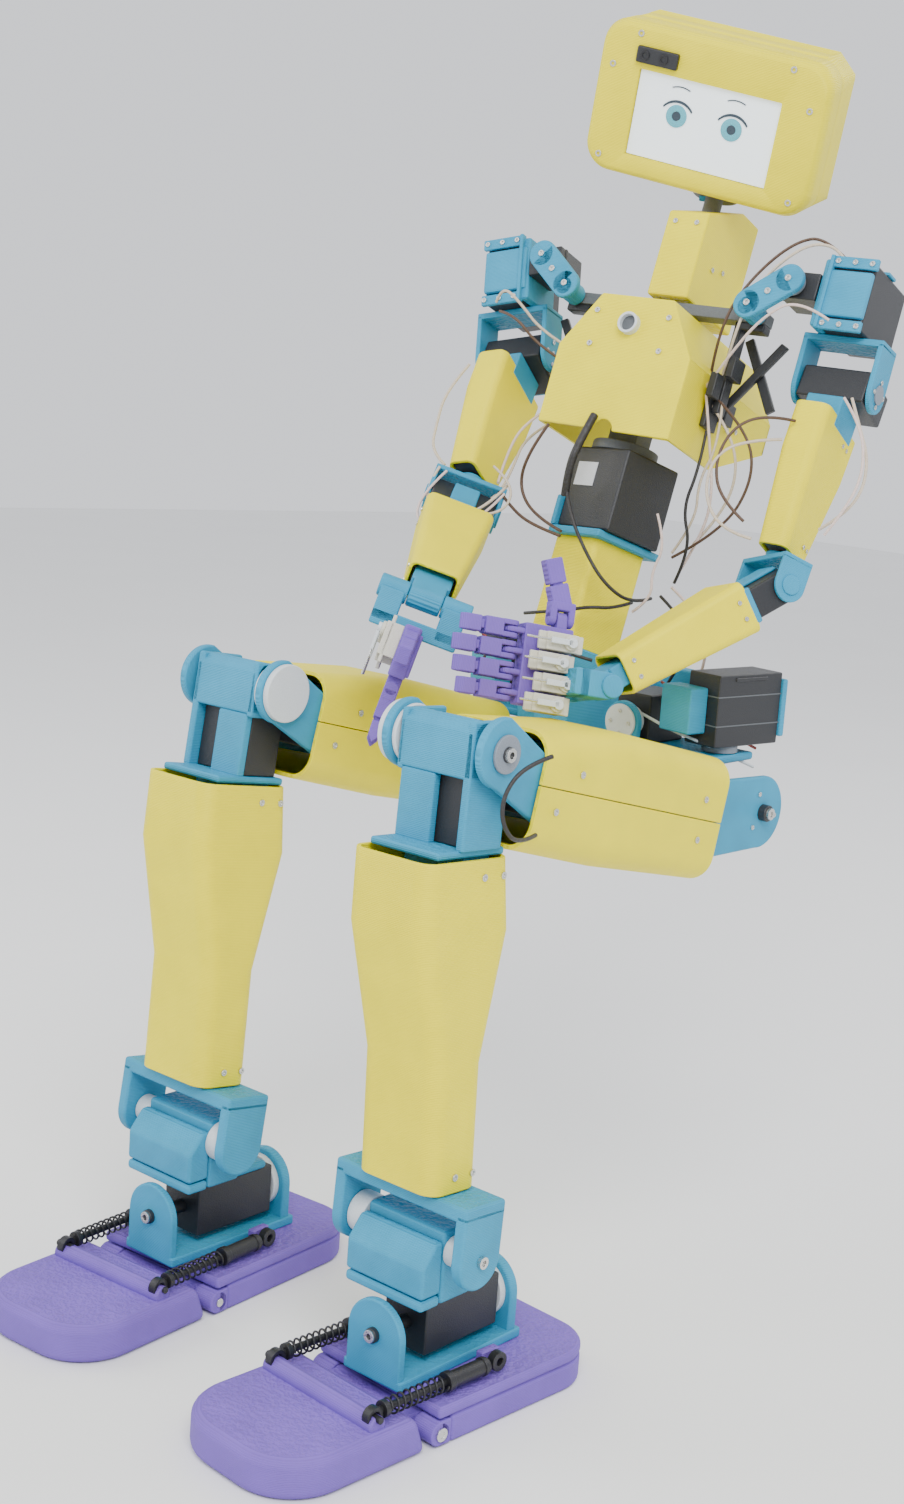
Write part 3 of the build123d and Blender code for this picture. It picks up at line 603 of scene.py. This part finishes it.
def make_struts(side):
    """Spring struts over the toe joint."""
    for number, e in enumerate((-1, 1)):
        x = e * 45.5
        tag = ("inner", "outer")[number]
        body = [disc("y", -15, 17, x, 35, 5.5), disc("y", -20, -15, x, 35, 6.5),
            disc("y", 12, 15, x, 35, 6.2), ring("x", x - 3, x + 3, 27, 35, 6.5, 2.7)]
        stands = ["shock_bodies"] if number == 0 else []
        side_piece(side, "strut_body_" + tag, "sole", "strut_body", DARK_STEEL, body, bevel=0.6,
            stands_for=stands)
        rod = [disc("y", -76, -7, x, 35, 2.4), disc("y", -74, -70, x, 35, 5.5),
            ring("x", x - 3, x + 3, -81, 33, 6.4, 3.6)]
        stands = ["shock_rods"] if number == 0 else []
        side_piece(side, "strut_rod_" + tag, "sole", "strut_rod", DARK_STEEL, rod, bevel=0.4,
            stands_for=stands)
        side_piece(side, "strut_end_" + tag, "sole", "toe", DARK_STEEL,
            [disc("x", min(x - 6, x + 8 * e), max(x - 6, x + 8 * e), -81, 33, 2.3)], bevel=0.3)
        spring = coil(-69.5, -21, x, 35, 5.2, 0.75, 9)
        side_piece(side, "strut_spring_" + tag, "sole", "strut_rod", DARK_STEEL, [spring], bevel=0)


def coil(y0, y1, x, z, r, wire, turns):
    """Round wire wound about a line along Y."""
    def add(bm):
        loops = []
        steps = turns * 20
        for i in range(steps + 1):
            share = i / steps
            angle = share * turns * 2 * math.pi
            centre = Vector((x + r * math.cos(angle), y0 + (y1 - y0) * share, z + r * math.sin(angle)))
            outward = Vector((math.cos(angle), 0, math.sin(angle)))
            loop = []
            for k in range(8):
                a = k * math.pi / 4
                offset = math.cos(a) * outward + math.sin(a) * Vector((0, 1, 0))
                loop.append(bm.verts.new(centre + wire * offset))
            loops.append(loop)
        faces = join_loops(bm, loops)
        faces.append(bm.faces.new(loops[0]))
        faces.append(bm.faces.new(loops[-1]))
        bmesh.ops.recalc_face_normals(bm, faces=faces)
    return add


# ---- arms ----
def make_shoulder(side):
    on_shoulder = limb(side, "shoulder", "shoulder")
    on_upper_arm = limb(side, "upper_arm", "upper_arm")
    on_shoulder("shoulder_servo_small", BLACK, [box(-10, 18, 5, 40, -10, 10),
        box(-11, 18, 12, 15, -10, 10)], bevel=1.0)
    on_shoulder("shoulder_plate", BLUE, [box(18, 25, 6, 50, -28, 22), box(20, 57, 4, 10, -20, 14)],
        bevel=2.0, stands_for=["shoulder_block"])
    on_shoulder("shoulder_servo_large", BLACK, [box(25, 57, 8, 72, -28, 22)], bevel=1.8)
    on_shoulder("shoulder_straps", BLUE, [box(23, 26, 2, 8, -30, 24), box(25, 59, 4, 8, 16, 24),
        box(24, 58, 30, 44, 22, 24.5), box(24, 58, 4, 8, -30, -22)], bevel=0.8)
    on_shoulder("shoulder_strap_screws", STEEL, screw_shapes("y", 4, -1,
        [(29, 20), (42, 20), (55, 20), (29, -26), (42, -26), (55, -26)], 2.0, 1.2), bevel=0.2)
    place = PLACES[side + "_shoulder"]
    s = SIDES[side]
    hook_place = place @ move(s * 40, 36, -64)
    hook = [box(-31, 31, -14, 14, 31, 36), ear(27, 31, 14, 34), ear(-31, -27, 14, 34)]
    piece(side + "_shoulder_hook", hook_place, side + "_shoulder", BLUE, hook, bevel=1.0, mirrored=s < 0)
    spots = [(0, 0), (0, 9), (0, -9), (9, 0), (-9, 0)]
    piece(side + "_shoulder_hook_screws", hook_place, side + "_shoulder", STEEL,
        screw_shapes("x", 31, 1, spots, 1.8, 1.0) + screw_shapes("x", -31, -1, spots, 1.8, 1.0),
        bevel=0.2, mirrored=s < 0)
    piece(side + "_shoulder_horn_discs", hook_place, side + "_shoulder", SLATE,
        [disc("x", 26.3, 27, 0, 0, 10), disc("x", 31, 32.4, 0, 0, 7)], bevel=0.2, mirrored=s < 0)
    on_upper_arm("lift_servo", BLACK, [box(-26, 26, -11, 31, -11.5, 12.5)], bevel=1.6,
        stands_for=["upper_arm_frame"])
    on_upper_arm("lift_bracket", BLUE, [box(-14, 14, -16, 20, -34, -11.5),
        box(-24, 24, 31, 34, -9, 10)], bevel=1.4)
    stations = [(-26, -34, 34, 27), (-60, -33, 33, 27), (-131, -21, 21, 23)]
    on_upper_arm("upper_arm_print", GREEN, [cover(stations, 2.4, 7)], bevel=0.6,
        stands_for=["upper_arm_cover"])
    on_upper_arm("twist_servo", BLACK, [box(-8, 8, -17, 17, -130, -32)], bevel=1)
    spots = [(10, -38), (18, -38), (6, -120), (13, -120)]
    on_upper_arm("upper_arm_screws", STEEL, screw_shapes("x", 13.2, 1, spots[:2], 1.7,
        1.0) + screw_shapes("x", 11.9, 1, spots[2:], 1.7, 1.0), bevel=0.2)


def make_forearm(side):
    on_forearm = limb(side, "forearm", "forearm")
    fork = [disc("z", -136, -131.6, 0, 0, 10), box(-28, 28, -12, 12, -140, -136)]
    side_piece(side, "elbow_bracket", "elbow", "elbow", BLUE, fork + elbow_ears(), bevel=1.2,
        stands_for=["elbow_fork"])
    on_forearm("elbow_servo", BLACK, [box(-24.5, 24.5, -11, 11, -31, 9),
        disc("x", -24.6, 24.6, 0, 0, 10)], bevel=1.6, stands_for=["forearm_frame"])
    on_forearm("elbow_grey", BLUE, [box(-26, 26, -13, 13, -36, -30), box(-10, 10, -14, -11, -30, 6)],
        bevel=1.4)
    on_forearm("forearm_spine", BLUE, [box(-14, 14, -8, 8, -148, -36), disc("x", -12, 12, 0, -160, 8),
        box(-12, 12, -8, 8, -160, -146)], bevel=1.4)
    stations = [(-34, -19, 19, 52), (-139, -15, 15, 37)]
    on_forearm("forearm_print", GREEN, [cover(stations, 2.4, 6)], bevel=0.6,
        stands_for=["forearm_cover"])
    spots = [(-6, -42), (6, -42), (-6, -131), (6, -131)]
    on_forearm("forearm_screws", STEEL, screw_shapes("x", 25.6, 1, spots[:2], 1.7,
        1.0) + screw_shapes("x", 18.8, 1, spots[2:], 1.7, 1.0), bevel=0.2)


def elbow_ears():
    ears = []
    for e in (-1, 1):
        low, high = sorted((e * 25, e * 28))
        ears.append(prism("x", low, high, circle(0, -UPPER_ARM, 12, 180, 360, 20) + [(12, -138),
            (-12, -138)]))
        low, high = sorted((e * 28, e * 29.5))
        ears.append(disc("x", low, high, 0, -UPPER_ARM, 7))
    return ears


FINGER_X = (-12.0, 2.0, 16.0, 30.0)
FINGER_LENGTHS = (36.0, 40.0, 42.0, 38.0)
FINGER_NAMES = ("little_finger", "ring_finger", "middle_finger", "index_finger")
KNUCKLE_Z = -64.0
THUMB_X = 42.0


def make_hand(side):
    on_palm_hand = limb(side, "palm", "hand")
    cuff = [disc("x", 12.4, 33, 0, 0, 8), disc("x", -33, -12.4, 0, 0, 8)]
    cuff += [box(14, 31, -9, 9, -24, 0), box(-31, -14, -9, 9, -24, 0), box(-31, 31, -9, 9, -27, -16)]
    side_piece(side, "cuff", "hand", "hand", BLUE, cuff, bevel=1.2)
    on_palm_hand("palm_print", PURPLE, palm_shapes(), bevel=1.4, stands_for=["palm"])
    servos = []
    horns = []
    for number in range(4):
        x = FINGER_X[number] - 5
        z = -50 + (number % 2) * 5
        servos += [box(x - 6, x + 6, 6, 18, z, z + 23), box(x - 6, x + 6, 13, 15.5, z - 5, z + 28)]
        servos.append(disc("y", 18, 20.5, x, z + 17, 5))
        horns += [disc("y", 20.5, 23, x, z + 17, 3.4), box(x - 2, x + 2, 21, 23, z + 1, z + 17)]
    on_palm_hand("palm_servos", CREAM, servos, bevel=0.7)
    on_palm_hand("palm_horns", WHITE, horns, bevel=0.4)
    rods = [disc("z", -62, -40, x - 5, 22, 0.8, 10) for x in FINGER_X]
    on_palm_hand("finger_rods", STEEL, rods, bevel=0)
    for number, name in enumerate(FINGER_NAMES):
        x = FINGER_X[number]
        tip = KNUCKLE_Z - FINGER_LENGTHS[number]
        joint = (KNUCKLE_Z + tip) / 2 - 3
        end = [(-4.4, joint - 1.2), (4.4, joint - 1.2), (4.0, tip + 5), (0, tip), (-3.4, tip + 5)]
        shapes = [box(x - 5.8, x + 5.8, -5, 5, joint + 1.2, KNUCKLE_Z - 7),
            prism("x", x - 5.4, x + 5.4, end), disc("x", x - 3, x + 3, 0, joint, 3.4)]
        for low, high in ((x - 6, x - 2.4), (x + 2.4, x + 6)):
            shapes += [disc("x", low, high, 0, KNUCKLE_Z, 5), box(low, high, -5, 5, KNUCKLE_Z - 8,
                KNUCKLE_Z)]
        side_piece(side, name + "_print", "palm", name, PURPLE, shapes, bevel=0.9, stands_for=[name])
    side_piece(side, "thumb_print", "palm", "thumb", PURPLE, thumb_shapes(), bevel=1.2,
        stands_for=["thumb"])


def palm_shapes():
    shapes = [box(-19, 36, -6, 6, -56, -20), box(35, THUMB_X, -5, 5, -33, -25)]
    shapes.append(disc("z", -33, -25, THUMB_X, 0, 5))
    for x in FINGER_X:
        shapes += [box(x - 2, x + 2, -5, 5, KNUCKLE_Z, -54), disc("x", x - 2, x + 2, 0, KNUCKLE_Z, 5)]
        shapes.append(box(x - 5.5, x + 5.5, -8, -5, -54, -24))
    return shapes


def thumb_shapes():
    def tip(bm):
        made = bmesh.new()
        box(-7, 7, -4.5, 4.5, -16, 0)(made)
        box(-6.4, 6.4, -4.5, 4.5, -34, -17)(made)
        disc("y", -3, 3, 0, -16.5, 4)(made)
        place = move(50, 0, -29) @ turn("Y", -70)
        bmesh.ops.transform(made, matrix=place, verts=made.verts)
        mesh = bpy.data.meshes.new("thumb_tip")
        made.to_mesh(mesh)
        made.free()
        bm.from_mesh(mesh)
        bpy.data.meshes.remove(mesh)
    shapes = [box(48, 54, -5, 5, -38, -20), tip]
    for low, high in ((-38, -33.4), (-24.6, -20)):
        shapes += [box(THUMB_X, 50, -5, 5, low, high), disc("z", low, high, THUMB_X, 0, 5)]
    return shapes


# ---- torso, head ----
def make_torso():
    torso = PLACES["torso"]
    outline = [(-55, 16.7), (-8, 16.7)] + circle(0, 16.7, 8, 180, 0, 14)[1:-1] + [(8, 16.7), (55, 16.7),
        (55, 77), (30, 118.7), (-30, 118.7), (-55, 77)]
    front = prism("y", -15, -12, outline)
    piece("chest_front", torso, "torso", GREEN, [front], bevel=1.2, stands_for=["chest_cover"])
    sides = []
    for s in (-1, 1):
        low, high = sorted((s * 52, s * 55))
        sides.append(prism("x", low, high, [(-13, 16.7), (60, 16.7), (142, 53), (142, 77), (-13, 77)]))
    slope = [(55, 77), (30, 118.7), (28.8, 115.7), (52, 76.5)]
    sides.append(prism("y", -13, 142, slope))
    sides.append(prism("y", -13, 142, [(-x, z) for x, z in slope]))
    sides.append(box(-30, 30, -13, 16, 115.7, 118.7))
    sides.append(box(-30, 30, 110, 142, 115.7, 118.7))
    sides.append(box(-30, -16, 16, 110, 115.7, 118.7))
    sides.append(box(16, 30, 16, 110, 115.7, 118.7))
    sides.append(prism("y", 139, 142, [(-55, 53), (55, 53), (55, 77), (30, 118.7), (-30, 118.7),
        (-55, 77)]))
    piece("chest_sides", torso, "torso", GREEN, sides, bevel=0.6)
    piece("chest_screws", torso, "torso", STEEL, screw_shapes("y", -15, -1,
        [(-30, 105), (30, 105), (-29, 79.5), (29, 79.5)], 2.2, 1.4) + screw_shapes("x", 55, 1,
        [(70, 51), (85, 54)], 2.0, 1.2) + screw_shapes("x", -55, -1, [(70, 51), (85, 54)], 2.0, 1.2),
        bevel=0.2)
    piece("chest_sensor_tube", torso, "torso", WHITE, [ring("y", -21, -6, 0, 97, 8, 6)], bevel=0.5,
        stands_for=["chest_sensor"])
    piece("chest_sensor_mesh", torso, "torso", GREY, [disc("y", -17, -10, 0, 97, 6)], bevel=0.3)
    neck = prism("x", -17, 17, [(24, 134), (108, 134), (108, 222), (78, 222), (24, 200)])
    piece("neck_print", torso, "torso", GREEN, [neck], bevel=2.0, stands_for=["neck_cover"])
    piece("neck_screws", torso, "torso", STEEL, screw_shapes("x", 17, 1, [(51, 166), (68, 170)], 2.0,
        1.2) + screw_shapes("y", 24, -1, [(-9, 192), (9, 192)], 2.0, 1.2), bevel=0.2)
    post = [disc("z", 8.4, 16, 0, 28, 25, 48), box(-12, 12, 18, 42, 16, 122),
        box(-84, 84, 27, 41, 122, 131)]
    piece("spine_core", torso, "torso", GREY, post, bevel=1.0, stands_for=["spine_frame"])
    for side, s in SIDES.items():
        mirrored = s < 0
        link = [disc("y", 4, 10, 77, 129, 11), disc("y", 4, 10, 104, 150, 11),
            disc("y", 4, 26, 77, 127, 8), prism("y", 4, 10, [(70.3, 137.7), (97.3, 158.7),
            (110.7, 141.3), (83.7, 120.3)])]
        piece(side + "_shoulder_link", torso, "torso", BLUE, link, bevel=1.5, mirrored=mirrored)
        piece(side + "_shoulder_link_screws", torso, "torso", STEEL,
            screw_shapes("y", 4, -1, [(104, 150), (77, 129), (91, 139)], 2.4, 1.2), bevel=0.2,
            mirrored=mirrored)
        brace = [box(55.3, 60, 24, 44, 40, 74), box(60, 66, 28, 40, 52, 122),
            box(60, 84, 28, 40, 116, 122)]
        piece(side + "_chest_brace", torso, "torso", BLACK, brace, bevel=1.2, mirrored=mirrored)
        plugs = [box(60, 66, 12, 24, 60, 78), box(58, 64, 46, 60, 50, 66), box(66, 72, 22, 40, 78, 94)]
        piece(side + "_lead_plugs", torso, "torso", BLACK, plugs, bevel=0.8, mirrored=mirrored)
        crossed = [prism("y", 46, 50, [(56, 60), (62, 58), (98, 112), (92, 115)]),
            prism("y", 51, 55, [(92, 62), (98, 66), (66, 118), (60, 114)])]
        piece(side + "_shoulder_struts", torso, "torso", BLACK, crossed, bevel=0.8, mirrored=mirrored)
        piece(side + "_shoulder_horn", torso, "torso", SLATE, [disc("y", 10, 15.6, 104, 150, 9)],
            bevel=0.5, mirrored=mirrored)


def make_waist():
    waist = PLACES["waist"]
    stations = [(-60, 2, 56, 45), (-140, 2, 56, 45)]

    def shifted(bm):
        cover(stations, 3, 5)(bm)
        bmesh.ops.translate(bm, vec=(-8.5, 0, 0), verts=bm.verts)
    piece("abdomen_print", waist, "pelvis", GREEN, [shifted], bevel=0.6, stands_for=["abdomen_cover"])
    piece("waist_servo_body", waist, "pelvis", BLACK, [box(-30, 24, 0, 56, -54, 8)], bevel=2.0,
        stands_for=["waist_servo"])
    piece("waist_servo_label", waist, "pelvis", LABEL, [box(-24, -4, -0.6, 0.4, -22, -4)], bevel=0.2)
    bracket = [box(-34, 20, -4, 64, -60, -54), box(-34, -30, -4, 64, -54, -31),
        box(-34, 17, 3, 54, -162, -140)]
    piece("waist_bracket_print", waist, "pelvis", BLUE, bracket, bevel=1.6)
    core = [box(-45, 45, -75, 40, 0, 8), box(-18, 18, -62, -18, 8, 116), box(-18, 18, -20, 32, 96, 116),
        box(-99.3, 99.3, 30, 44, 95, 128)]
    piece("pelvis_core", PLACES["pelvis"], "pelvis", BLUE, core, bevel=1.6, stands_for=["pelvis_frame"])


def head_rear(bm):
    """Open-fronted rear cover: rounded at the front edge, with two top chamfers at the rear."""
    profile = [(-88.6, -41), (88.6, -41), (88.6, 52), (64, 74), (-64, 74), (-88.6, 52)]

    def outline(inset, share):
        front = rounded_outline(-91 + inset, 91 - inset, -48 + inset, 64 - inset, 20, 10)
        loop = []
        for x, z in front:
            far = nearest_on(profile, x, z, inset)
            loop.append((x + (far[0] - x) * share, z + (far[1] - z) * share))
        return loop
    rings = []
    for y, inset, share in ((20.4, 0, 0), (40, 0.4, 0.8), (58, 0.5, 1), (60, 1.6, 1), (57, 3.0, 1),
        (20.4, 3.0, 0)):
        rings.append([bm.verts.new((x, y, z)) for x, z in outline(inset, share)])
    outer = rings[:4]
    faces = join_loops(bm, outer)
    faces.append(bm.faces.new(rings[3]))
    faces += join_loops(bm, rings[4:][::-1])
    faces.append(bm.faces.new(rings[4]))
    faces += join_loops(bm, [rings[0], rings[5]])
    bmesh.ops.recalc_face_normals(bm, faces=faces)


def nearest_on(profile, x, z, inset):
    """Point where the ray from the middle through (x, z) leaves the outline, moved in by the inset."""
    z0 = 12.0
    length = math.hypot(x, z - z0)
    direction = (x / length, (z - z0) / length)
    best = 1e9
    for i in range(len(profile)):
        ax, az = profile[i]
        bx, bz = profile[(i + 1) % len(profile)]
        ex, ez = bx - ax, bz - az
        across = direction[0] * ez - direction[1] * ex
        if abs(across) < 1e-9:
            continue
        reach = (ax * ez - (az - z0) * ex) / across
        along = (ax * direction[1] - (az - z0) * direction[0]) / across
        if reach > 0 and -0.001 <= along <= 1.001:
            best = min(best, reach)
    best -= inset
    return (direction[0] * best, z0 + direction[1] * best)


def make_head():
    head = PLACES["head"]

    def front(bm):
        rings = []
        levels = ((20, 0, 0), (2, 0, 0), (-4, 2.2, 3), (-6, 5.5, 6))
        for y, inset, extra in levels:
            outline = rounded_outline(-91 + inset, 91 - inset, -48 + inset, 64 - inset,
                20 - inset * 0.4, 10)
            rings.append([bm.verts.new((x, y, z)) for x, z in outline])
        window = [bm.verts.new((x, -6, z)) for x, z in rounded_outline(-56.5, 56.5, -31.5, 31.5, 1.0,
            10)]
        inner = [bm.verts.new((x, -1, z)) for x, z in rounded_outline(-56.5, 56.5, -31.5, 31.5, 1.0, 10)]
        back = [bm.verts.new((v.co.x * 0.96, 20, (v.co.z - 8) * 0.94 + 8)) for v in rings[0]]
        lining = [bm.verts.new((v.co.x, 1, v.co.z)) for v in back]
        faces = join_loops(bm, [inner] + [window] + rings[::-1] + [back] + [lining], closed=True)
        bmesh.ops.recalc_face_normals(bm, faces=faces)
    piece("head_front_print", head, "head", GREEN, [front], bevel=0, stands_for=["head_front_cover"])
    piece("head_rear_print", head, "head", GREEN, [head_rear], bevel=0, stands_for=["head_rear_cover"])
    piece("display_panel", head, "head", SCREEN, [box(-56, 56, -3.5, 2, -31, 31)], bevel=0.3,
        stands_for=["face_display"])
    piece("head_camera_body", head, "head", BLACK, [box(-60, -27, -10, -5, 36, 48)], bevel=1.5,
        stands_for=["head_camera"])
    piece("head_camera_lenses", head, "head", DARK_STEEL, [ring("y", -10.8, -9, -53, 42, 3.6, 2.0, 24),
        ring("y", -10.8, -9, -38, 42, 3.6, 2.0, 24)], bevel=0.2)
    piece("head_screws", head, "head", STEEL, screw_shapes("y", -5, -1,
        [(-78, 30.5), (78, 30.5), (-77, -36), (77, -36), (60, 56), (-60, 56)], 2.5, 1.8), bevel=0.2)
    make_eyes(head)
    neck = PLACES["neck"]
    piece("neck_pan_plate", neck, "neck", GREY, [disc("z", 19.5, 24.5, 0, 0, 18),
        disc("z", 0, 20, 0, 0, 7)], bevel=0.6, stands_for=["neck_bracket"])
    post_place = PLACES["torso"] @ move(2.8, 6.6, 258.2) @ turn("Z", 9.1) @ turn("X", 30.8)
    piece("neck_post", post_place, "neck", BLUE, [box(-9, 9, 28, 42, -59, -15),
        disc("x", -9, 9, 35, -15, 9)], bevel=1.0)
    piece("neck_tilt_servo", head, "head", BLACK, [box(-24, -10, 26, 44, -38, -14),
        box(10, 24, 26, 44, -38, -14)], bevel=1.0)


def make_eyes(head):
    """Two plain round eyes with an upper lid line, as flat shapes on the display."""
    for s in (-1, 1):
        x, z = s * 22.0, 4.0
        tag = "left" if s > 0 else "right"
        piece(tag + "_eye_iris", head, "head", IRIS, [ring("y", -4.1, -3.4, x, z, 8.2, 3.6, 32)],
            bevel=0)
        piece(tag + "_eye_pupil", head, "head", INK, [disc("y", -4.1, -3.4, x, z, 3.5, 24)], bevel=0)
        lid = circle(x, z - 3, 14.5, 35, 145, 20) + circle(x, z - 5, 14.5, 140, 40, 20)
        brow = circle(x, z + 4, 17.5, 65, 115, 12) + circle(x, z + 3.2, 17.5, 113, 67, 12)
        piece(tag + "_eye_lid", head, "head", INK, [prism("y", -4.1, -3.4, lid),
            prism("y", -4.1, -3.4, brow)], bevel=0)


# ---- loose leads: route points in millimetres of a place, right limbs drawn as left ones ----
LEADS = [
    ("arm_loop_outer", "left_upper_arm", TAN, 2.2,
     [(24, -24, -16), (38, -28, -38), (50, -24, -58), (53, -20, -82), (46, -24, -104), (30, -18, -114)]),
    ("arm_loop_inner", "left_upper_arm", ROSE, 2.0,
     [(22, -32, -20), (44, -36, -42), (54, -32, -72), (50, -29, -98), (37, -22, -119)]),
    ("shoulder_loop_high", "torso", TAN, 2.2,
     [(60, 31, 78), (72, 8, 104), (77, 8, 138), (95, 6, 164), (115, 10, 181), (136, 18, 177),
     (154, 28, 148)]),
    ("shoulder_loop_top", "torso", BROWN, 2.2,
     [(52, 28, 82), (60, 6, 110), (70, 12, 148), (95, 14, 180), (118, 20, 189), (143, 30, 168)]),
    ("shoulder_loop_low", "torso", ROSE, 2.0,
     [(54, 22, 68), (78, 0, 90), (100, -12, 114), (123, -12, 131), (147, -4, 120)]),
    ("side_lead_1", "torso", TAN, 2.2,
     [(52, 28, 64), (76, 32, 43), (90, 38, 14), (82, 47, -18), (62, 54, -42)]),
    ("side_lead_2", "torso", BROWN, 2.2,
     [(60, 29, 64), (93, 28, 43), (106, 33, 10), (88, 44, -30), (50, 50, -55)]),
    ("side_lead_3", "torso", ROSE, 2.2,
     [(58, 18, 62), (62, 34, 33), (73, 40, -3), (70, 50, -32), (56, 57, -62)]),
    ("side_lead_4", "torso", TAN, 2.0,
     [(67, 29, 60), (74, 27, 28), (63, 33, 1), (66, 41, -27), (50, 48, -52)]),
    ("side_lead_5", "torso", INKY, 2.4,
     [(60, 30, 38), (64, 27, 8), (57, 32, -21), (68, 41, -48), (56, 53, -73)]),
    ("elbow_loop_1", "left_upper_arm", BROWN, 2.2,
     [(-14, -44, -127), (-34, -52, -116), (-44, -58, -91), (-38, -60, -65), (-20, -54, -50),
     (-6, -36, -44)]),
    ("elbow_loop_2", "left_upper_arm", TAN, 2.2,
     [(-5, -42, -138), (-24, -48, -138), (-42, -56, -121), (-46, -60, -93), (-33, -54, -72),
     (-10, -38, -60)]),
    ("waist_braid", "torso", INKY, 6.0,
     [(-7, -18, 26), (-8, -26, 4), (-12, -25, -16), (-14, -16, -36)]),
    ("belly_lead_long", "waist", INKY, 2.6,
     [(-10, -20, -28), (5, -22, -50), (19, -13, -72), (35, 0, -93), (44, 24, -101), (36, 50, -90)]),
    ("belly_lead_wrap", "waist", INKY, 2.6,
     [(-31, -6, -124), (-12, -9, -122), (14, -9, -118), (32, -4, -112), (40, 12, -108), (34, 34, -98)]),
    ("belly_lead_low", "waist", INKY, 2.6,
     [(-35, -18, -141), (-14, -23, -138), (4, -14, -144), (22, -5, -148), (34, 11, -148)]),
    ("belly_lead_side", "waist", ROSE, 2.0,
     [(39, 30, -31), (48, 38, -52), (43, 36, -73), (47, 40, -92), (33, 38, -104)]),
    ("flank_lead_low", "torso", BROWN, 2.4,
     [(-78, -7, -37), (-54, -17, -53), (-33, -16, -62), (-8, -17, -66)]),
    ("flank_lead_high", "torso", BROWN, 2.4,
     [(-42, -19, 14), (-54, -17, -9), (-63, -2, -33), (-38, -9, -54), (-10, -14, -62)]),
    ("right_arm_loop", "right_upper_arm", TAN, 2.2,
     [(10, -40, -46), (23, -39, -72), (28, -29, -96), (30, -21, -117), (18, -14, -126)]),
    ("right_elbow_loop_1", "right_upper_arm", TAN, 2.2,
     [(12, -26, -140), (19, -25, -165), (5, -16, -182), (-15, -12, -180), (-32, -8, -164),
     (-38, -4, -143)]),
    ("right_elbow_loop_2", "right_upper_arm", ROSE, 2.0,
     [(4, -26, -145), (23, -26, -173), (12, -19, -197), (-10, -14, -194), (-29, -8, -178),
     (-37, -4, -153)]),
    ("right_elbow_loop_3", "right_upper_arm", TAN, 2.0,
     [(-28, -16, -135), (-44, -6, -146), (-41, 0, -166), (-26, -12, -181), (-12, -19, -180)]),
    ("right_side_loop_1", "torso", TAN, 2.2,
     [(-58, 10, 22), (-86, 24, 12), (-84, 16, -17), (-74, -10, -46), (-86, -20, -60)]),
    ("right_side_loop_2", "torso", ROSE, 2.2,
     [(-58, 24, 48), (-86, 20, 24), (-89, 10, -4), (-76, -11, -34)]),
    ("right_shoulder_loop_1", "torso", TAN, 2.2,
     [(-60, 26, 82), (-92, 18, 92), (-110, 0, 110), (-124, -6, 118), (-132, 4, 108)]),
    ("right_shoulder_loop_2", "torso", BROWN, 2.2,
     [(-60, 26, 70), (-90, 12, 80), (-106, -4, 97), (-124, 0, 100)]),
    ("hip_lead_red", "waist", RED, 2.2,
     [(52, 68, -147), (88, 57, -157), (102, 76, -167), (105, 102, -173), (110, 121, -176)]),
    ("hip_lead_white", "waist", WHITE, 2.2,
     [(58, 46, -174), (90, 46, -182), (106, 66, -185), (112, 95, -188), (117, 116, -190)]),
    ("knee_loop", "left_thigh", INKY, 2.8,
     [(63, -5, -284), (57, 4, -300), (53, 22, -309), (54, 40, -307), (56, 52, -290), (47, 44, -262)]),
    ("thumb_lead_red", "right_hand", RED, 2.0,
     [(-24, 19, -6), (-36, 15, -4), (-50, 8, -8), (-56, 7, -18)]),
    ("thumb_lead_brown", "right_hand", BROWN, 2.0,
     [(-26, 18, -14), (-41, 12, -13), (-54, 11, -16), (-51, 15, -28)]),
    ("hip_drop_1", "waist", INKY, 2.4,
     [(33, 62, -85), (65, 69, -104), (67, 68, -126), (57, 69, -148)]),
    ("hip_drop_2", "waist", ROSE, 2.2,
     [(35, 69, -76), (71, 79, -97), (78, 80, -128), (74, 77, -156), (102, 64, -173)]),
]


def lead(name, place, material, diameter, points):
    """One loose lead along a smooth open curve with the given control points."""
    body = "pelvis" if place == "waist" else place
    sign = -1 if place.startswith("right") else 1
    route = [MM * (PLACES[place] @ Vector((sign * x, y, z))) for x, y, z in points]
    data = bpy.data.curves.new(name, "CURVE")
    data.dimensions = "3D"
    data.resolution_u = 12
    data.bevel_resolution = 3
    spline = data.splines.new("NURBS")
    spline.points.add(len(route) - 1)
    for point, spot in zip(spline.points, route):
        point.co = (*spot, 1)
    spline.order_u = 3
    spline.use_endpoint_u = True
    made = bpy.data.objects.new(name, data)
    bpy.context.collection.objects.link(made)
    bpy.context.view_layer.update()
    line = made.to_mesh()
    made.to_mesh_clear()
    data.bevel_depth = diameter * MM / 2
    data.use_fill_caps = True
    data.materials.append(material)
    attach(made, body)


make_camera_and_light()
make_floor()
make_waist()
make_torso()
make_head()
for side in SIDES:
    make_hip(side)
    make_thigh(side)
    make_shin(side)
    make_ankle(side)
    make_foot(side)
    make_struts(side)
    make_shoulder(side)
    make_forearm(side)
    make_hand(side)
for entry in LEADS:
    lead(*entry)
